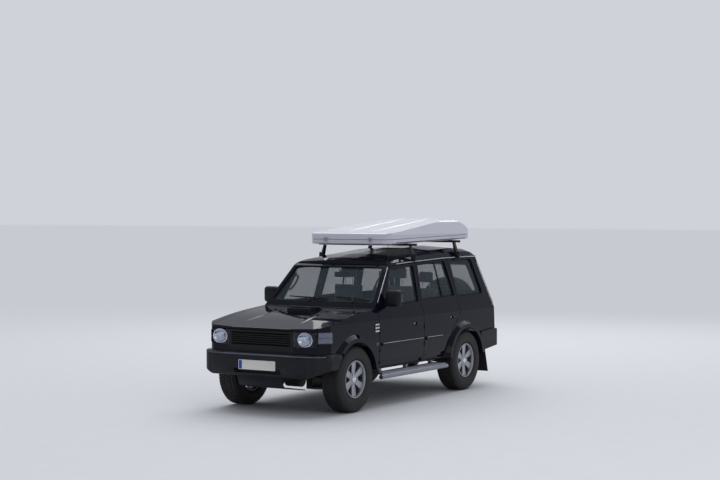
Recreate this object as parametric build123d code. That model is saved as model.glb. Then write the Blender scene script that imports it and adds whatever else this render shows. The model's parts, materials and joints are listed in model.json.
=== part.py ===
"""Long five-door off-road estate car with roof bars and a hinged hard roof shell."""

from build123d import *
import os

os.makedirs("parts", exist_ok=True)

# Frame: millimetres. X points to the car's left, Y to its back, Z up from the ground.
# Shapes are drawn with Y counted from the front axle; write() moves them so that Y is 0 at mid length.

# Whole car
FRONT_OVERHANG = 790.0
WHEELBASE = 2725.0
REAR_OVERHANG = 1220.0
HALF_TRACK = 737.0
FRONT_END_Y = -FRONT_OVERHANG
REAR_END_Y = WHEELBASE + REAR_OVERHANG
LENGTH = REAR_END_Y - FRONT_END_Y

# Clearances
SEAT_GAP = 0.3
PANEL_GAP = 8.0

# Wheels and tyres
TYRE_DIAMETER = 777.0
TYRE_WIDTH = 265.0
RIM_DIAMETER = 430.0
RIM_LIP = 14.0
RIM_BARREL_WALL = 9.0
SPOKES = 6
HUB_RADIUS = 78.0
SPINDLE_RADIUS = 32.0
BRAKE_RADIUS = 150.0
AXLE_Z = TYRE_DIAMETER / 2
FRONT_Y = 0.0
REAR_Y = WHEELBASE
STEER_X = 660.0

# Lower body heights and half widths
SILL_Z = 450.0
SILL_X = 790.0
LOWER_SIDE_Z = 560.0
LOWER_SIDE_X = 835.0
WIDEST_Z = 760.0
WIDEST_X = 845.0
WAIST_Z = 1045.0
WAIST_X = 838.0
BELT_Z = 1215.0
BELT_X = 790.0
GUTTER_Z = 1745.0
GUTTER_X = 660.0
FLARE_X = 887.0
HAUNCH_X = 868.0
FLOOR_Z = 580.0
FLOOR_THICKNESS = 40.0
TUNNEL_X = 680.0
CARGO_FLOOR_Y = REAR_Y - 485.0
CARGO_FLOOR_Z = 700.0

# Cabin side outline
COWL_Y = 500.0
SCREEN_BASE_Y = 545.0
SCREEN_TOP_Y = 985.0
SCREEN_TOP_Z = 1662.0
HEADER_Y = 1035.0
HEADER_Z = 1690.0
SPARE_ROOM = 370.0
TAIL_Y = REAR_END_Y - SPARE_ROOM
REAR_TOP_Y = TAIL_Y - 245.0
REAR_BELT_Z = 1130.0
TAIL_BOTTOM_Z = 600.0
WALL = 60.0

# Doors and windows
DOOR_BOTTOM_Z = SILL_Z + 36.0
DOOR_FRONT_Y = 565.0
DOOR_SPLIT_Y = 1636.0
DOOR_SPLIT_TOP_Y = 1688.0
DOOR_REAR_Y = REAR_Y - 130.0
DOOR_SKIN = 14.0
DOOR_STEP = 26.0
GLASS = 5.0
GLASS_DEPTH = 20.0

# Front end
BONNET_X = 735.0
BONNET_FRONT_Z = 1002.0
BONNET_REAR_Y = 440.0
BONNET_REAR_Z = 1172.0
BONNET_THICKNESS = 32.0
NOSE_Y = FRONT_END_Y + 62.0
INNER_WING_X = 386.0
INNER_WING_WALL = 20.0
LAMP_INNER_X = 455.0
LAMP_OUTER_X = 742.0
LAMP_BOTTOM_Z = 795.0
LAMP_TOP_Z = 970.0
LAMP_BACK_Y = NOSE_Y + 128.0

# Wheel arches: round openings about the hubs, wider inside than at the lip
ARCH_RADIUS = 430.0
HOUSING_RADIUS = 472.0
LIP_X = 802.0
FLARE_ROOT_X = 780.0
FLARE_ROOT_RADIUS = 575.0
FLARE_SLOPE = 42.0
LINER = 16.0

# Bumpers
BUMPER_TOP_Z = 712.0
BUMPER_BOTTOM_Z = 440.0
BUMPER_X = 875.0
REAR_BUMPER_TOP_Z = 765.0
REAR_BUMPER_Y = REAR_END_Y - 240.0
BUMPER_END_Y = -330.0

# Ladder frame
RAIL_X = 355.0
RAIL_WIDTH = 66.0
RAIL_BOTTOM_Z = 452.0
RAIL_HEIGHT = 112.0
RAIL_KICK = 120.0

# Tailgate and spare wheel
TAILGATE_X = 690.0
TAILGATE_BOTTOM_Z = 785.0
TAILGATE_TOP_Z = 1690.0
SPARE_Z = 1035.0
SPARE_X = 0.0

# Roof
ROOF_CROWN_RISE = 116.0
CROWN = 20.0
ROOF_TOP_Z = GUTTER_Z + ROOF_CROWN_RISE + CROWN
ROOF_SIDE_X = 628.0
ROOF_SKIN = 28.0

# Roof bars and hard roof shell
BAR_RADIUS = 16.0
BAR_HALF_LENGTH = 728.0
SHELL_FRONT_Y = HEADER_Y + 150.0
SHELL_REAR_Y = REAR_TOP_Y
FRONT_BAR_Y = SHELL_FRONT_Y + 455.0
REAR_BAR_Y = SHELL_REAR_Y - 540.0
SHELL_HALF_WIDTH = 605.0
SHELL_WALL = 14.0
SHELL_BASE_HEIGHT = 62.0

# Planes well inside and outside the car, for cuts
DEEP_X = 430.0
FAR_X = 1000.0
LOW = SILL_Z - 400
HIGH = ROOF_TOP_Z + 200


def section_face(table, plane, inset=0.0):
    """Closed outline with rounded corners. Table columns: across, up, corner radius."""
    points = [(row[0], row[1]) for row in table]
    radii = [row[2] for row in table]
    face = make_face(FilletPolyline(*points, radius=radii, close=True))
    if inset:
        face = offset(face, amount=-inset, kind=Kind.INTERSECTION)
    return plane * face


def side_prism(table, x0, x1, inset=0.0):
    """Side outline, columns y, z, radius, made solid from x0 to x1."""
    plane = Plane(origin=(x0, 0, 0), x_dir=(0, 1, 0), z_dir=(1, 0, 0))
    return extrude(section_face(table, plane, inset), amount=x1 - x0)


def front_prism(table, y0, y1, inset=0.0):
    """Cross-section, columns x, z, radius, made solid from y0 to y1."""
    plane = Plane(origin=(0, y1, 0), x_dir=(1, 0, 0), z_dir=(0, -1, 0))
    return extrude(section_face(table, plane, inset), amount=y1 - y0)


def plan_prism(table, z0, z1, inset=0.0):
    """Plan outline, columns x, y, radius, made solid from z0 to z1."""
    plane = Plane(origin=(0, 0, z0), x_dir=(1, 0, 0), z_dir=(0, 0, 1))
    return extrude(section_face(table, plane, inset), amount=z1 - z0)


def block(x0, x1, y0, y1, z0, z1):
    """Box between two corners."""
    centre = Pos((x0 + x1) / 2, (y0 + y1) / 2, (z0 + z1) / 2)
    return centre * Box(abs(x1 - x0), abs(y1 - y0), abs(z1 - z0))


def rod(start, end, radius):
    """Round bar between two points."""
    line = Vector(*end) - Vector(*start)
    plane = Plane(origin=start, z_dir=line)
    return extrude(plane * Circle(radius), amount=line.length)


def half_to_full(half):
    """Mirrors a half section, columns x, z, radius, that starts and ends at the middle."""
    other = [(-x, z, r) for x, z, r in reversed(half)]
    return half + other


def flip(shape):
    """The same piece on the car's other side."""
    return mirror(shape, about=Plane.YZ)


def pair(shape):
    """A piece and its mirror image, as one node."""
    return shape + flip(shape)


def write(name, shape):
    """Moves a finished piece to the file frame and writes it."""
    shift = -(FRONT_END_Y + LENGTH / 2)
    moved = Pos(0, shift, 0) * shape
    export_step(moved, "parts/" + name + ".step")
    print(name, "solids", len(moved.solids()), "volume", round(moved.volume))


# Cabin: side outline, columns y, z, radius
CABIN_SIDE = [
    (COWL_Y, SILL_Z, 0),
    (COWL_Y, BELT_Z - 50, 0),
    (SCREEN_BASE_Y, BELT_Z, 12),
    (SCREEN_TOP_Y, SCREEN_TOP_Z, 0),
    (HEADER_Y, HEADER_Z, 0),
    (HEADER_Y + 285, HEADER_Z + 24, 0),
    (HEADER_Y + 1430, GUTTER_Z, 0),
    (REAR_TOP_Y, GUTTER_Z, 0),
    (TAIL_Y - 10, REAR_BELT_Z, 60),
    (TAIL_Y, TAIL_BOTTOM_Z, 20),
    (TAIL_Y - 300, TAIL_BOTTOM_Z - 60, 0),
    (CARGO_FLOOR_Y, SILL_Z, 0),
]

# Cabin: cross-section of the lower body and the leaning windows, half, columns x, z, radius
CABIN_SECTION = half_to_full(
    [
        (SILL_X, SILL_Z, 25),
        (LOWER_SIDE_X, LOWER_SIDE_Z, 60),
        (WIDEST_X, WIDEST_Z, 200),
        (WAIST_X, WAIST_Z, 25),
        (BELT_X, BELT_Z, 30),
        (GUTTER_X, GUTTER_Z + 20, 0),
    ]
)


def cabin_form(inset=0.0):
    """The closed outer form of the cabin, or the same form drawn in by a wall."""
    side = side_prism(CABIN_SIDE, -FLARE_X, FLARE_X, inset)
    section = front_prism(CABIN_SECTION, COWL_Y - 10, TAIL_Y + 10, inset)
    return side & section


# Haunch over the rear wheel: its foot inside the wall and its face further out, columns y, z, radius
HAUNCH_FOOT_X = 795.0
HAUNCH_FOOT = [
    (REAR_Y - 1000, 1035, 0),
    (REAR_Y - 400, 1168, 0),
    (REAR_Y + 400, 1168, 0),
    (TAIL_Y - 30, 1112, 0),
    (TAIL_Y - 30, 560, 0),
    (REAR_Y - 700, 560, 0),
]
HAUNCH_FACE = [
    (REAR_Y - 400, 1010, 0),
    (REAR_Y - 300, 1108, 0),
    (REAR_Y + 380, 1108, 0),
    (TAIL_Y - 50, 1058, 0),
    (TAIL_Y - 50, 860, 0),
    (REAR_Y - 400, 860, 0),
]


def arch_cut(centre_y, x0, x1, radius):
    """Round wheel opening between two X planes, carried straight down below the hub."""
    plane = Plane(origin=(x0, centre_y, AXLE_Z), x_dir=(0, 1, 0), z_dir=(1, 0, 0))
    face = Circle(radius) + Pos(0, -AXLE_Z / 2) * Rectangle(2 * radius, AXLE_Z)
    return extrude(plane * face, amount=x1 - x0)


def arch_room(centre_y, inner_x, grow=0.0):
    """Whole room of one wheel: the wide housing behind the lip and the lip's own opening."""
    housing = arch_cut(centre_y, inner_x - grow, LIP_X, HOUSING_RADIUS + grow)
    return housing + arch_cut(centre_y, LIP_X - 1, FAR_X, ARCH_RADIUS + grow)


def arch_flare(centre_y):
    """Flare over one wheel: a short cone that swells from the side to the flare's width."""
    plane = Plane(origin=(FLARE_ROOT_X, centre_y, AXLE_Z), x_dir=(0, 1, 0), z_dir=(1, 0, 0))
    cone = extrude(plane * Circle(FLARE_ROOT_RADIUS), amount=FLARE_X - FLARE_ROOT_X, taper=FLARE_SLOPE)
    return cone & block(0, FAR_X, FRONT_END_Y, REAR_END_Y, SILL_Z + 12, HIGH)


def haunch_form():
    """Swelling of the rear quarter, drawn from its foot to its face."""
    planes = [Plane(origin=(x, 0, 0), x_dir=(0, 1, 0), z_dir=(1, 0, 0)) for x in (HAUNCH_FOOT_X, HAUNCH_X)]
    return loft([section_face(HAUNCH_FOOT, planes[0]), section_face(HAUNCH_FACE, planes[1])], ruled=True)


# Doors: side outlines, columns y, z, radius
FRONT_DOOR = [
    (DOOR_FRONT_Y, DOOR_BOTTOM_Z, 30),
    (DOOR_FRONT_Y, BELT_Z - 55, 30),
    (DOOR_FRONT_Y + 95, BELT_Z - 5, 30),
    (HEADER_Y + 25, HEADER_Z - 24, 50),
    (DOOR_SPLIT_TOP_Y, HEADER_Z + 3, 20),
    (DOOR_SPLIT_Y, BELT_Z, 0),
    (DOOR_SPLIT_Y, DOOR_BOTTOM_Z, 25),
]
REAR_DOOR = [
    (DOOR_SPLIT_Y + PANEL_GAP, DOOR_BOTTOM_Z, 25),
    (DOOR_SPLIT_Y + PANEL_GAP, BELT_Z, 0),
    (DOOR_SPLIT_TOP_Y + PANEL_GAP, HEADER_Z + 4, 20),
    (DOOR_REAR_Y - 70, GUTTER_Z - 25, 60),
    (DOOR_REAR_Y, BELT_Z, 0),
    (DOOR_REAR_Y, 1010, 90),
    (REAR_Y - 345, 812, 120),
    (REAR_Y - 530, 560, 60),
    (REAR_Y - 545, DOOR_BOTTOM_Z, 25),
]
FRONT_WINDOW = [
    (790, BELT_Z - 17, 25),
    (1045, 1632, 30),
    (DOOR_SPLIT_TOP_Y - 55, 1668, 22),
    (DOOR_SPLIT_Y - 48, BELT_Z, 22),
]
REAR_WINDOW = [
    (DOOR_SPLIT_Y + 48, BELT_Z + 14, 22),
    (DOOR_SPLIT_TOP_Y + 52, 1672, 22),
    (DOOR_REAR_Y - 145, 1698, 40),
    (DOOR_REAR_Y - 50, BELT_Z + 30, 30),
]
QUARTER_WINDOW = [
    (DOOR_REAR_Y + 44, BELT_Z + 15, 30),
    (DOOR_REAR_Y + 2, 1700, 40),
    (REAR_TOP_Y - 140, 1704, 50),
    (REAR_TOP_Y + 5, BELT_Z + 24, 40),
]
# Windscreen and tailgate: front outlines, columns x, z, radius
WINDSCREEN = half_to_full([(738, BELT_Z + 24, 40), (634, SCREEN_TOP_Z - 8, 45)])
TAILGATE = half_to_full(
    [
        (TAILGATE_X, TAILGATE_BOTTOM_Z, 40),
        (TAILGATE_X, BELT_Z, 60),
        (TAILGATE_X - 105, TAILGATE_TOP_Z, 60),
    ]
)
TAILGATE_WINDOW = half_to_full([(TAILGATE_X - 70, BELT_Z + 30, 50), (TAILGATE_X - 160, 1630, 50)])

TAIL_END_Y = TAIL_Y + 100
TAIL_FACE_Y = REAR_TOP_Y - 180

# The car's width at each height, carried straight down below the widest line: half, x, z, radius
DEEP_SECTION = half_to_full(
    [
        (WIDEST_X, LOW, 0),
        (WIDEST_X, WIDEST_Z, 0),
        (WAIST_X, WAIST_Z, 0),
        (BELT_X, BELT_Z, 0),
        (GUTTER_X, GUTTER_Z + 20, 0),
        (GUTTER_X - 60, HIGH, 0),
    ]
)


def inner_core(inset):
    """Everything between the car's side walls, each drawn in by the inset."""
    return front_prism(DEEP_SECTION, FRONT_END_Y, TAIL_END_Y, inset)


def gutter_z(y):
    """Height of the roof gutter at a place along the car."""
    rows = CABIN_SIDE[4:8]
    for start, end in zip(rows, rows[1:]):
        if y <= end[0]:
            break
    share = (y - start[0]) / (end[0] - start[0])
    return start[1] + share * (end[1] - start[1])


# Hinge knuckles: the middle one moves, the outer two and the pin through them stay
KNUCKLE_RADIUS = 7.0
PIN_SHARE = 0.45
KNUCKLE_LENGTH = 20.0
POCKET_GAP = 5.0
LEAF = 7.0
LEAF_REACH = 40.0
HALF_KNUCKLE = KNUCKLE_LENGTH / 2


def hinge_pocket(centre, direction):
    """Room round one hinge, cut from both panels."""
    plane = Plane(origin=centre, z_dir=direction)
    half = 1.5 * KNUCKLE_LENGTH + POCKET_GAP
    return extrude(plane * Circle(KNUCKLE_RADIUS + POCKET_GAP), amount=half, both=True)


def fixed_knuckles(centre, direction, radius=KNUCKLE_RADIUS):
    """Two outer knuckles of one hinge with their pin."""
    plane = Plane(origin=centre, z_dir=direction)
    gap = HALF_KNUCKLE + SEAT_GAP
    knuckles = extrude(plane * Circle(radius), amount=1.5 * KNUCKLE_LENGTH, both=True)
    knuckles -= extrude(plane * Circle(radius + 1), amount=gap, both=True)
    return knuckles + extrude(plane * Circle(radius * PIN_SHARE), amount=1.5 * KNUCKLE_LENGTH, both=True)


def moving_knuckle(centre, direction, leaf, radius=KNUCKLE_RADIUS):
    """Middle knuckle of one hinge with its leaf, bored for the pin."""
    plane = Plane(origin=centre, z_dir=direction)
    knuckle = extrude(plane * Circle(radius), amount=HALF_KNUCKLE, both=True) + leaf
    bore = radius * PIN_SHARE + SEAT_GAP
    return knuckle - extrude(plane * Circle(bore), amount=KNUCKLE_LENGTH, both=True)


# Door hinges: slim knuckles on vertical pins that stand in the shut lines, just outside the widest line
DOOR_PIN_X = WIDEST_X + 1.0
DOOR_KNUCKLE_RADIUS = 3.2
PIN_SETBACK = 1.0
DOOR_LEAF = 3.4
FRONT_PIN_Y = DOOR_FRONT_Y - PANEL_GAP / 2 + PIN_SETBACK
REAR_PIN_Y = DOOR_SPLIT_Y + PANEL_GAP / 2 + PIN_SETBACK
DOOR_HINGE_Z = [690.0, 900.0]
POST_DEPTH = 26.0


def post_hinge(y, z):
    """Fixed half of one left door hinge, with leaves that reach through the shut line into the post."""
    piece = fixed_knuckles((DOOR_PIN_X, y, z), (0, 0, 1), DOOR_KNUCKLE_RADIUS)
    for low in (z - 3 * HALF_KNUCKLE, z + HALF_KNUCKLE + SEAT_GAP):
        high = low + KNUCKLE_LENGTH - SEAT_GAP
        front = y - DOOR_LEAF / 2
        piece += block(DOOR_PIN_X - LEAF_REACH, DOOR_PIN_X, front, front + DOOR_LEAF, low, high)
        post_x = DOOR_PIN_X - POST_DEPTH
        piece += block(DOOR_PIN_X - LEAF_REACH, post_x, front - 2 * PANEL_GAP, front + DOOR_LEAF, low, high)
    return piece


def door_hinge(y, z):
    """Moving half of one left door hinge."""
    leaf = block(DOOR_PIN_X - LEAF, DOOR_PIN_X - 1, y, y + 2 * PANEL_GAP, z - HALF_KNUCKLE, z + HALF_KNUCKLE)
    return moving_knuckle((DOOR_PIN_X, y, z), (0, 0, 1), leaf, DOOR_KNUCKLE_RADIUS)


outer_cabin = cabin_form()
wall_cabin = cabin_form(WALL)
wall_core = inner_core(WALL)
flap_room = block(0, FAR_X, REAR_Y + ARCH_RADIUS + 40, REAR_END_Y, LOW, TAIL_BOTTOM_Z - 90)
outer_body = outer_cabin + pair(haunch_form()) + pair(arch_flare(REAR_Y) - flap_room)

# Rear bumper: plan, columns x, y, radius, and side outline, columns y, z, radius
REAR_BUMPER_PLAN = [
    (872, REAR_Y + 405, 0),
    (872, REAR_BUMPER_Y - 110, 60),
    (800, REAR_BUMPER_Y - 6, 60),
    (-800, REAR_BUMPER_Y - 6, 60),
    (-872, REAR_BUMPER_Y - 110, 60),
    (-872, REAR_Y + 405, 0),
]
REAR_BUMPER_SIDE = [
    (REAR_Y + 500, 492, 25),
    (REAR_Y + 430, 600, 0),
    (REAR_Y + 400, REAR_BUMPER_TOP_Z - 30, 15),
    (REAR_BUMPER_Y - 190, REAR_BUMPER_TOP_Z, 40),
    (REAR_BUMPER_Y - 5, REAR_BUMPER_TOP_Z - 32, 35),
    (REAR_BUMPER_Y, 545, 30),
]
BUMPER_STEP_X = 470.0
BUMPER_STEP_Z = 645.0
BUMPER_CORE_X = WIDEST_X - 50


def rear_bumper_hull(grow):
    """Outer form of the rear bumper round the tail, grown for the pocket in the body."""
    hull = plan_prism(REAR_BUMPER_PLAN, LOW, HIGH, -grow)
    hull &= side_prism(REAR_BUMPER_SIDE, -FAR_X, FAR_X, -grow)
    core_x = BUMPER_CORE_X - grow
    return hull - block(-core_x, core_x, 0, TAIL_Y + SEAT_GAP - grow, LOW, HIGH)


# Floor pan, pillars, sills, bulkhead and rear quarters: one welded body
cavity = wall_cabin & block(-FAR_X, FAR_X, COWL_Y, TAIL_Y, FLOOR_Z + FLOOR_THICKNESS, HIGH)
cavity -= block(-FAR_X, FAR_X, CARGO_FLOOR_Y, TAIL_Y, LOW, CARGO_FLOOR_Z + FLOOR_THICKNESS)
tub = outer_body - cavity
tub -= block(-TUNNEL_X, TUNNEL_X, 0, CARGO_FLOOR_Y, 0, FLOOR_Z)
tub -= block(-TUNNEL_X, TUNNEL_X, CARGO_FLOOR_Y - 1, TAIL_Y - WALL, 0, CARGO_FLOOR_Z)
riser_x = TUNNEL_X + FLOOR_THICKNESS / 2
tub += block(-riser_x, riser_x, CARGO_FLOOR_Y - FLOOR_THICKNESS, CARGO_FLOOR_Y, FLOOR_Z, CARGO_FLOOR_Z + 5)
# Load board: the flat boss of the load floor between the wheel housings
LOAD_BOARD_X = 530.0
LOAD_BOARD_FRONT_Y = CARGO_FLOOR_Y + 450.0
LOAD_BOARD_REAR_Y = REAR_TOP_Y - WALL
LOAD_BOARD_RISE = 8.0
board_z = CARGO_FLOOR_Z + FLOOR_THICKNESS
board_top = board_z + LOAD_BOARD_RISE
tub += block(-LOAD_BOARD_X, LOAD_BOARD_X, LOAD_BOARD_FRONT_Y, LOAD_BOARD_REAR_Y, board_z - 5, board_top)
WHEELHOUSE_X = 560.0
wheelhouse = arch_room(REAR_Y, WHEELHOUSE_X + LINER, LINER)
wheelhouse &= block(WHEELHOUSE_X, BELT_X, 0, TAIL_Y, FLOOR_Z, BELT_Z)
tub += pair(wheelhouse)
arch_opening = arch_room(REAR_Y, WHEELHOUSE_X + LINER)
tub -= pair(arch_opening)
front_aperture = side_prism(FRONT_DOOR, DEEP_X, FAR_X, -PANEL_GAP) - wall_core
rear_aperture = side_prism(REAR_DOOR, DEEP_X, FAR_X, -PANEL_GAP) - wall_core
tub -= pair(front_aperture)
tub -= pair(rear_aperture)
# Post between the doors, columns y, z, radius: it stands behind both door skins
POST_HALF = DOOR_STEP - PANEL_GAP + PANEL_GAP / 2
MIDDLE_POST = [
    (REAR_PIN_Y - POST_HALF, SILL_Z, 0),
    (REAR_PIN_Y + POST_HALF, SILL_Z, 0),
    (REAR_PIN_Y + POST_HALF, BELT_Z, 0),
    (DOOR_SPLIT_TOP_Y + PANEL_GAP / 2 + POST_HALF, HEADER_Z + 20, 0),
    (DOOR_SPLIT_TOP_Y + PANEL_GAP / 2 - POST_HALF, HEADER_Z + 20, 0),
    (REAR_PIN_Y - POST_HALF, BELT_Z, 0),
]
middle_post = side_prism(MIDDLE_POST, DEEP_X, FAR_X) & (inner_core(DOOR_SKIN + PANEL_GAP) - wall_core)
middle_post &= outer_cabin
tub += pair(middle_post)
tub -= pair(side_prism(QUARTER_WINDOW, DEEP_X, FAR_X))
tub -= front_prism(WINDSCREEN, 0, HEADER_Y + 60)
tub -= front_prism(TAILGATE, TAIL_FACE_Y, TAIL_END_Y, -PANEL_GAP)
ROOF_HOLE_X = 500.0
tub -= block(-ROOF_HOLE_X, ROOF_HOLE_X, HEADER_Y + 110, REAR_TOP_Y - 130, SCREEN_TOP_Z - 100, HIGH)
tub -= rear_bumper_hull(SEAT_GAP)
# The front wing's tail lies over the post ahead of the door
WING_TAIL_Y = DOOR_FRONT_Y - PANEL_GAP
WING_SKIN = 12.0
tub -= block(-FAR_X, FAR_X, 0, WING_TAIL_Y + 1, LOW, BELT_Z - 40) - inner_core(WING_SKIN + SEAT_GAP)
# Gutter along each side of the roof, columns y, z, radius
GUTTER_OUT_X = GUTTER_X + 28
GUTTER_DEPTH = 13.0
GUTTER_SIDE = [
    (HEADER_Y + 5, gutter_z(HEADER_Y + 5) - 3, 0),
    (CABIN_SIDE[5][0], CABIN_SIDE[5][1] - 3, 0),
    (CABIN_SIDE[6][0], CABIN_SIDE[6][1] - 3, 0),
    (REAR_TOP_Y - 5, GUTTER_Z - 3, 0),
    (REAR_TOP_Y - 5, GUTTER_Z - 3 - GUTTER_DEPTH, 0),
    (CABIN_SIDE[6][0], CABIN_SIDE[6][1] - 3 - GUTTER_DEPTH, 0),
    (CABIN_SIDE[5][0], CABIN_SIDE[5][1] - 3 - GUTTER_DEPTH, 0),
    (HEADER_Y + 5, gutter_z(HEADER_Y + 5) - 3 - GUTTER_DEPTH, 0),
]
tub += pair(side_prism(GUTTER_SIDE, GUTTER_X - 20, GUTTER_OUT_X))
for hinge_z in DOOR_HINGE_Z:
    tub += pair(post_hinge(FRONT_PIN_Y, hinge_z))
    tub += pair(post_hinge(REAR_PIN_Y, hinge_z))

# Panes, each let into its frame by a named depth
pane_layer = cabin_form(GLASS_DEPTH) - cabin_form(GLASS_DEPTH + GLASS)


def side_pane(table):
    """Side window pane that fills its opening but for the seat gap."""
    return pane_layer & side_prism(table, DEEP_X, FAR_X, SEAT_GAP)


windscreen = pane_layer & front_prism(WINDSCREEN, 0, HEADER_Y + 60, SEAT_GAP)
tail_glass = pane_layer & front_prism(TAILGATE_WINDOW, TAIL_FACE_Y, TAIL_END_Y, SEAT_GAP)

# Pull handles, columns y, z, and the rubbing strip's height
HANDLE_PLACES = [(1500.0, 950.0), (REAR_Y - 285.0, 975.0)]
STRIP_LOW_Z = 728.0
STRIP_HIGH_Z = 772.0
STRIP_PROUD = 12.0
STRIP_END_GAP = 30.0


def door_panel(table, window, pin_y, handle):
    """Door as thick as the wall: outer skin to its edge, inner box stepped back from it."""
    skin = (outer_body - inner_core(DOOR_SKIN)) & side_prism(table, DEEP_X, FAR_X)
    box = (outer_body - wall_core) & side_prism(table, DEEP_X, FAR_X, DOOR_STEP)
    panel = skin + box - side_prism(window, DEEP_X, FAR_X)
    grip = block(WAIST_X - 20, WAIST_X + 24, handle[0] - 75, handle[0] + 75, handle[1] - 16, handle[1] + 16)
    grip -= block(0, WAIST_X + 14, handle[0] - 55, handle[0] + 55, handle[1] - 20, handle[1] + 20) - panel
    panel += fillet(grip.edges().group_by(Axis.X)[-1], 6)
    strip = block(WIDEST_X - 20, WIDEST_X + STRIP_PROUD, 0, REAR_Y, STRIP_LOW_Z, STRIP_HIGH_Z)
    panel += strip & side_prism(table, DEEP_X, FAR_X, STRIP_END_GAP)
    for z in DOOR_HINGE_Z:
        panel += door_hinge(pin_y, z)
    return panel


front_door = door_panel(FRONT_DOOR, FRONT_WINDOW, FRONT_PIN_Y, HANDLE_PLACES[0])
for hinge_z in DOOR_HINGE_Z:
    notch_y = REAR_PIN_Y - DOOR_KNUCKLE_RADIUS - POCKET_GAP
    front_door -= block(DOOR_PIN_X - LEAF_REACH, DOOR_PIN_X, notch_y, REAR_PIN_Y, hinge_z - 35, hinge_z + 35)
above_belt = block(0, FAR_X, 0, REAR_Y, BELT_Z, HIGH)
front_door_frame = front_door & above_belt
front_door -= above_belt
rear_door = door_panel(REAR_DOOR, REAR_WINDOW, REAR_PIN_Y, HANDLE_PLACES[1])
# Upright bar in the rear door's window, columns y, z, radius
WINDOW_BAR = [
    (DOOR_REAR_Y - 367, BELT_Z - 5, 0),
    (DOOR_REAR_Y - 343, BELT_Z - 5, 0),
    (DOOR_REAR_Y - 393, GUTTER_Z - 30, 0),
    (DOOR_REAR_Y - 417, GUTTER_Z - 30, 0),
]
window_bar = cabin_form(GLASS_DEPTH / 2) - cabin_form(GLASS_DEPTH - SEAT_GAP)
rear_door += window_bar & side_prism(WINDOW_BAR, DEEP_X, FAR_X)

# Door mirrors: housing on a foot at the window's front corner
MIRROR_X = 898.0
MIRROR_Y = 800.0
MIRROR_Z = 1308.0
MIRROR_WIDTH = 190.0
mirror_case = Pos(MIRROR_X, MIRROR_Y, MIRROR_Z) * Box(MIRROR_WIDTH, 120, 176)
mirror_case = fillet(mirror_case.edges().filter_by(Axis.Y), 42)
mirror_case = fillet(mirror_case.faces().sort_by(Axis.Y)[0].edges(), 38)
mirror_foot = block(BELT_X - 60, MIRROR_X - 40, MIRROR_Y - 40, MIRROR_Y + 10, BELT_Z - 25, BELT_Z + 45)
mirror_housing = mirror_case + mirror_foot - inner_core(-SEAT_GAP)

# Tailgate, side hinged on the car's right
TAIL_PIN_X = -(TAILGATE_X + PANEL_GAP / 2)
TAIL_PIN_Y = TAIL_Y - 6.0
TAIL_HINGE_Z = [860.0, 1080.0]
tailgate_front = front_prism(TAILGATE, TAIL_FACE_Y, TAIL_END_Y)
tailgate = (outer_cabin - cabin_form(DOOR_SKIN)) & tailgate_front
tailgate += (outer_cabin - wall_cabin) & front_prism(TAILGATE, TAIL_FACE_Y, TAIL_END_Y, DOOR_STEP)
tailgate -= front_prism(TAILGATE_WINDOW, TAIL_FACE_Y, TAIL_END_Y)
for hinge_z in TAIL_HINGE_Z:
    pin = (TAIL_PIN_X, TAIL_PIN_Y, hinge_z)
    low, high = hinge_z - HALF_KNUCKLE, hinge_z + HALF_KNUCKLE
    tailgate -= hinge_pocket(pin, (0, 0, 1))
    leaf = block(TAIL_PIN_X, TAIL_PIN_X + LEAF_REACH, TAIL_PIN_Y - LEAF, TAIL_PIN_Y, low, high)
    tailgate += moving_knuckle(pin, (0, 0, 1), leaf)
    tub -= hinge_pocket(pin, (0, 0, 1))
    tub += fixed_knuckles(pin, (0, 0, 1))
    for low in (hinge_z - 3 * HALF_KNUCKLE, hinge_z + HALF_KNUCKLE + SEAT_GAP):
        high = low + KNUCKLE_LENGTH - SEAT_GAP
        tub += block(TAIL_PIN_X - LEAF_REACH, TAIL_PIN_X, TAIL_PIN_Y - LEAF, TAIL_PIN_Y, low, high)

# Wheels: tyre and rim are turned about X and then put in place
BEAD_X = 101.0
BEAD_RADIUS = RIM_DIAMETER / 2 - 12
TYRE_PROFILE = half_to_full(
    [
        (BEAD_X - 1, BEAD_RADIUS + SEAT_GAP, 0),
        (BEAD_X - 1, RIM_DIAMETER / 2 + 6, 0),
        (TYRE_WIDTH / 2, BEAD_RADIUS + 88, 0),
        (TYRE_WIDTH / 2 - 6, TYRE_DIAMETER / 2 - 26, 0),
        (TYRE_WIDTH / 2 - 30, TYRE_DIAMETER / 2, 0),
    ]
)


def turned(table):
    """Profile, columns x, r, radius, turned about the X axis."""
    plane = Plane(origin=(0, 0, 0), x_dir=(1, 0, 0), z_dir=(0, -1, 0))
    return revolve(section_face(table, plane), Axis.X, 360)


def ring(x0, x1, inner, outer):
    """Plain ring about the X axis."""
    return turned([(x0, inner, 0), (x1, inner, 0), (x1, outer, 0), (x0, outer, 0)])


tyre = turned(TYRE_PROFILE)
RIM_BARREL = half_to_full(
    [
        (BEAD_X + RIM_LIP, BEAD_RADIUS - RIM_BARREL_WALL, 0),
        (BEAD_X + RIM_LIP, RIM_DIAMETER / 2 + 4, 0),
        (BEAD_X, RIM_DIAMETER / 2 + 4, 0),
        (BEAD_X, BEAD_RADIUS, 0),
    ]
)
DISH_X = 62.0
SPOKE_THICK = 26.0
SPOKE_WIDTH = 66.0
HUB_BACK_X = -48.0


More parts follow.
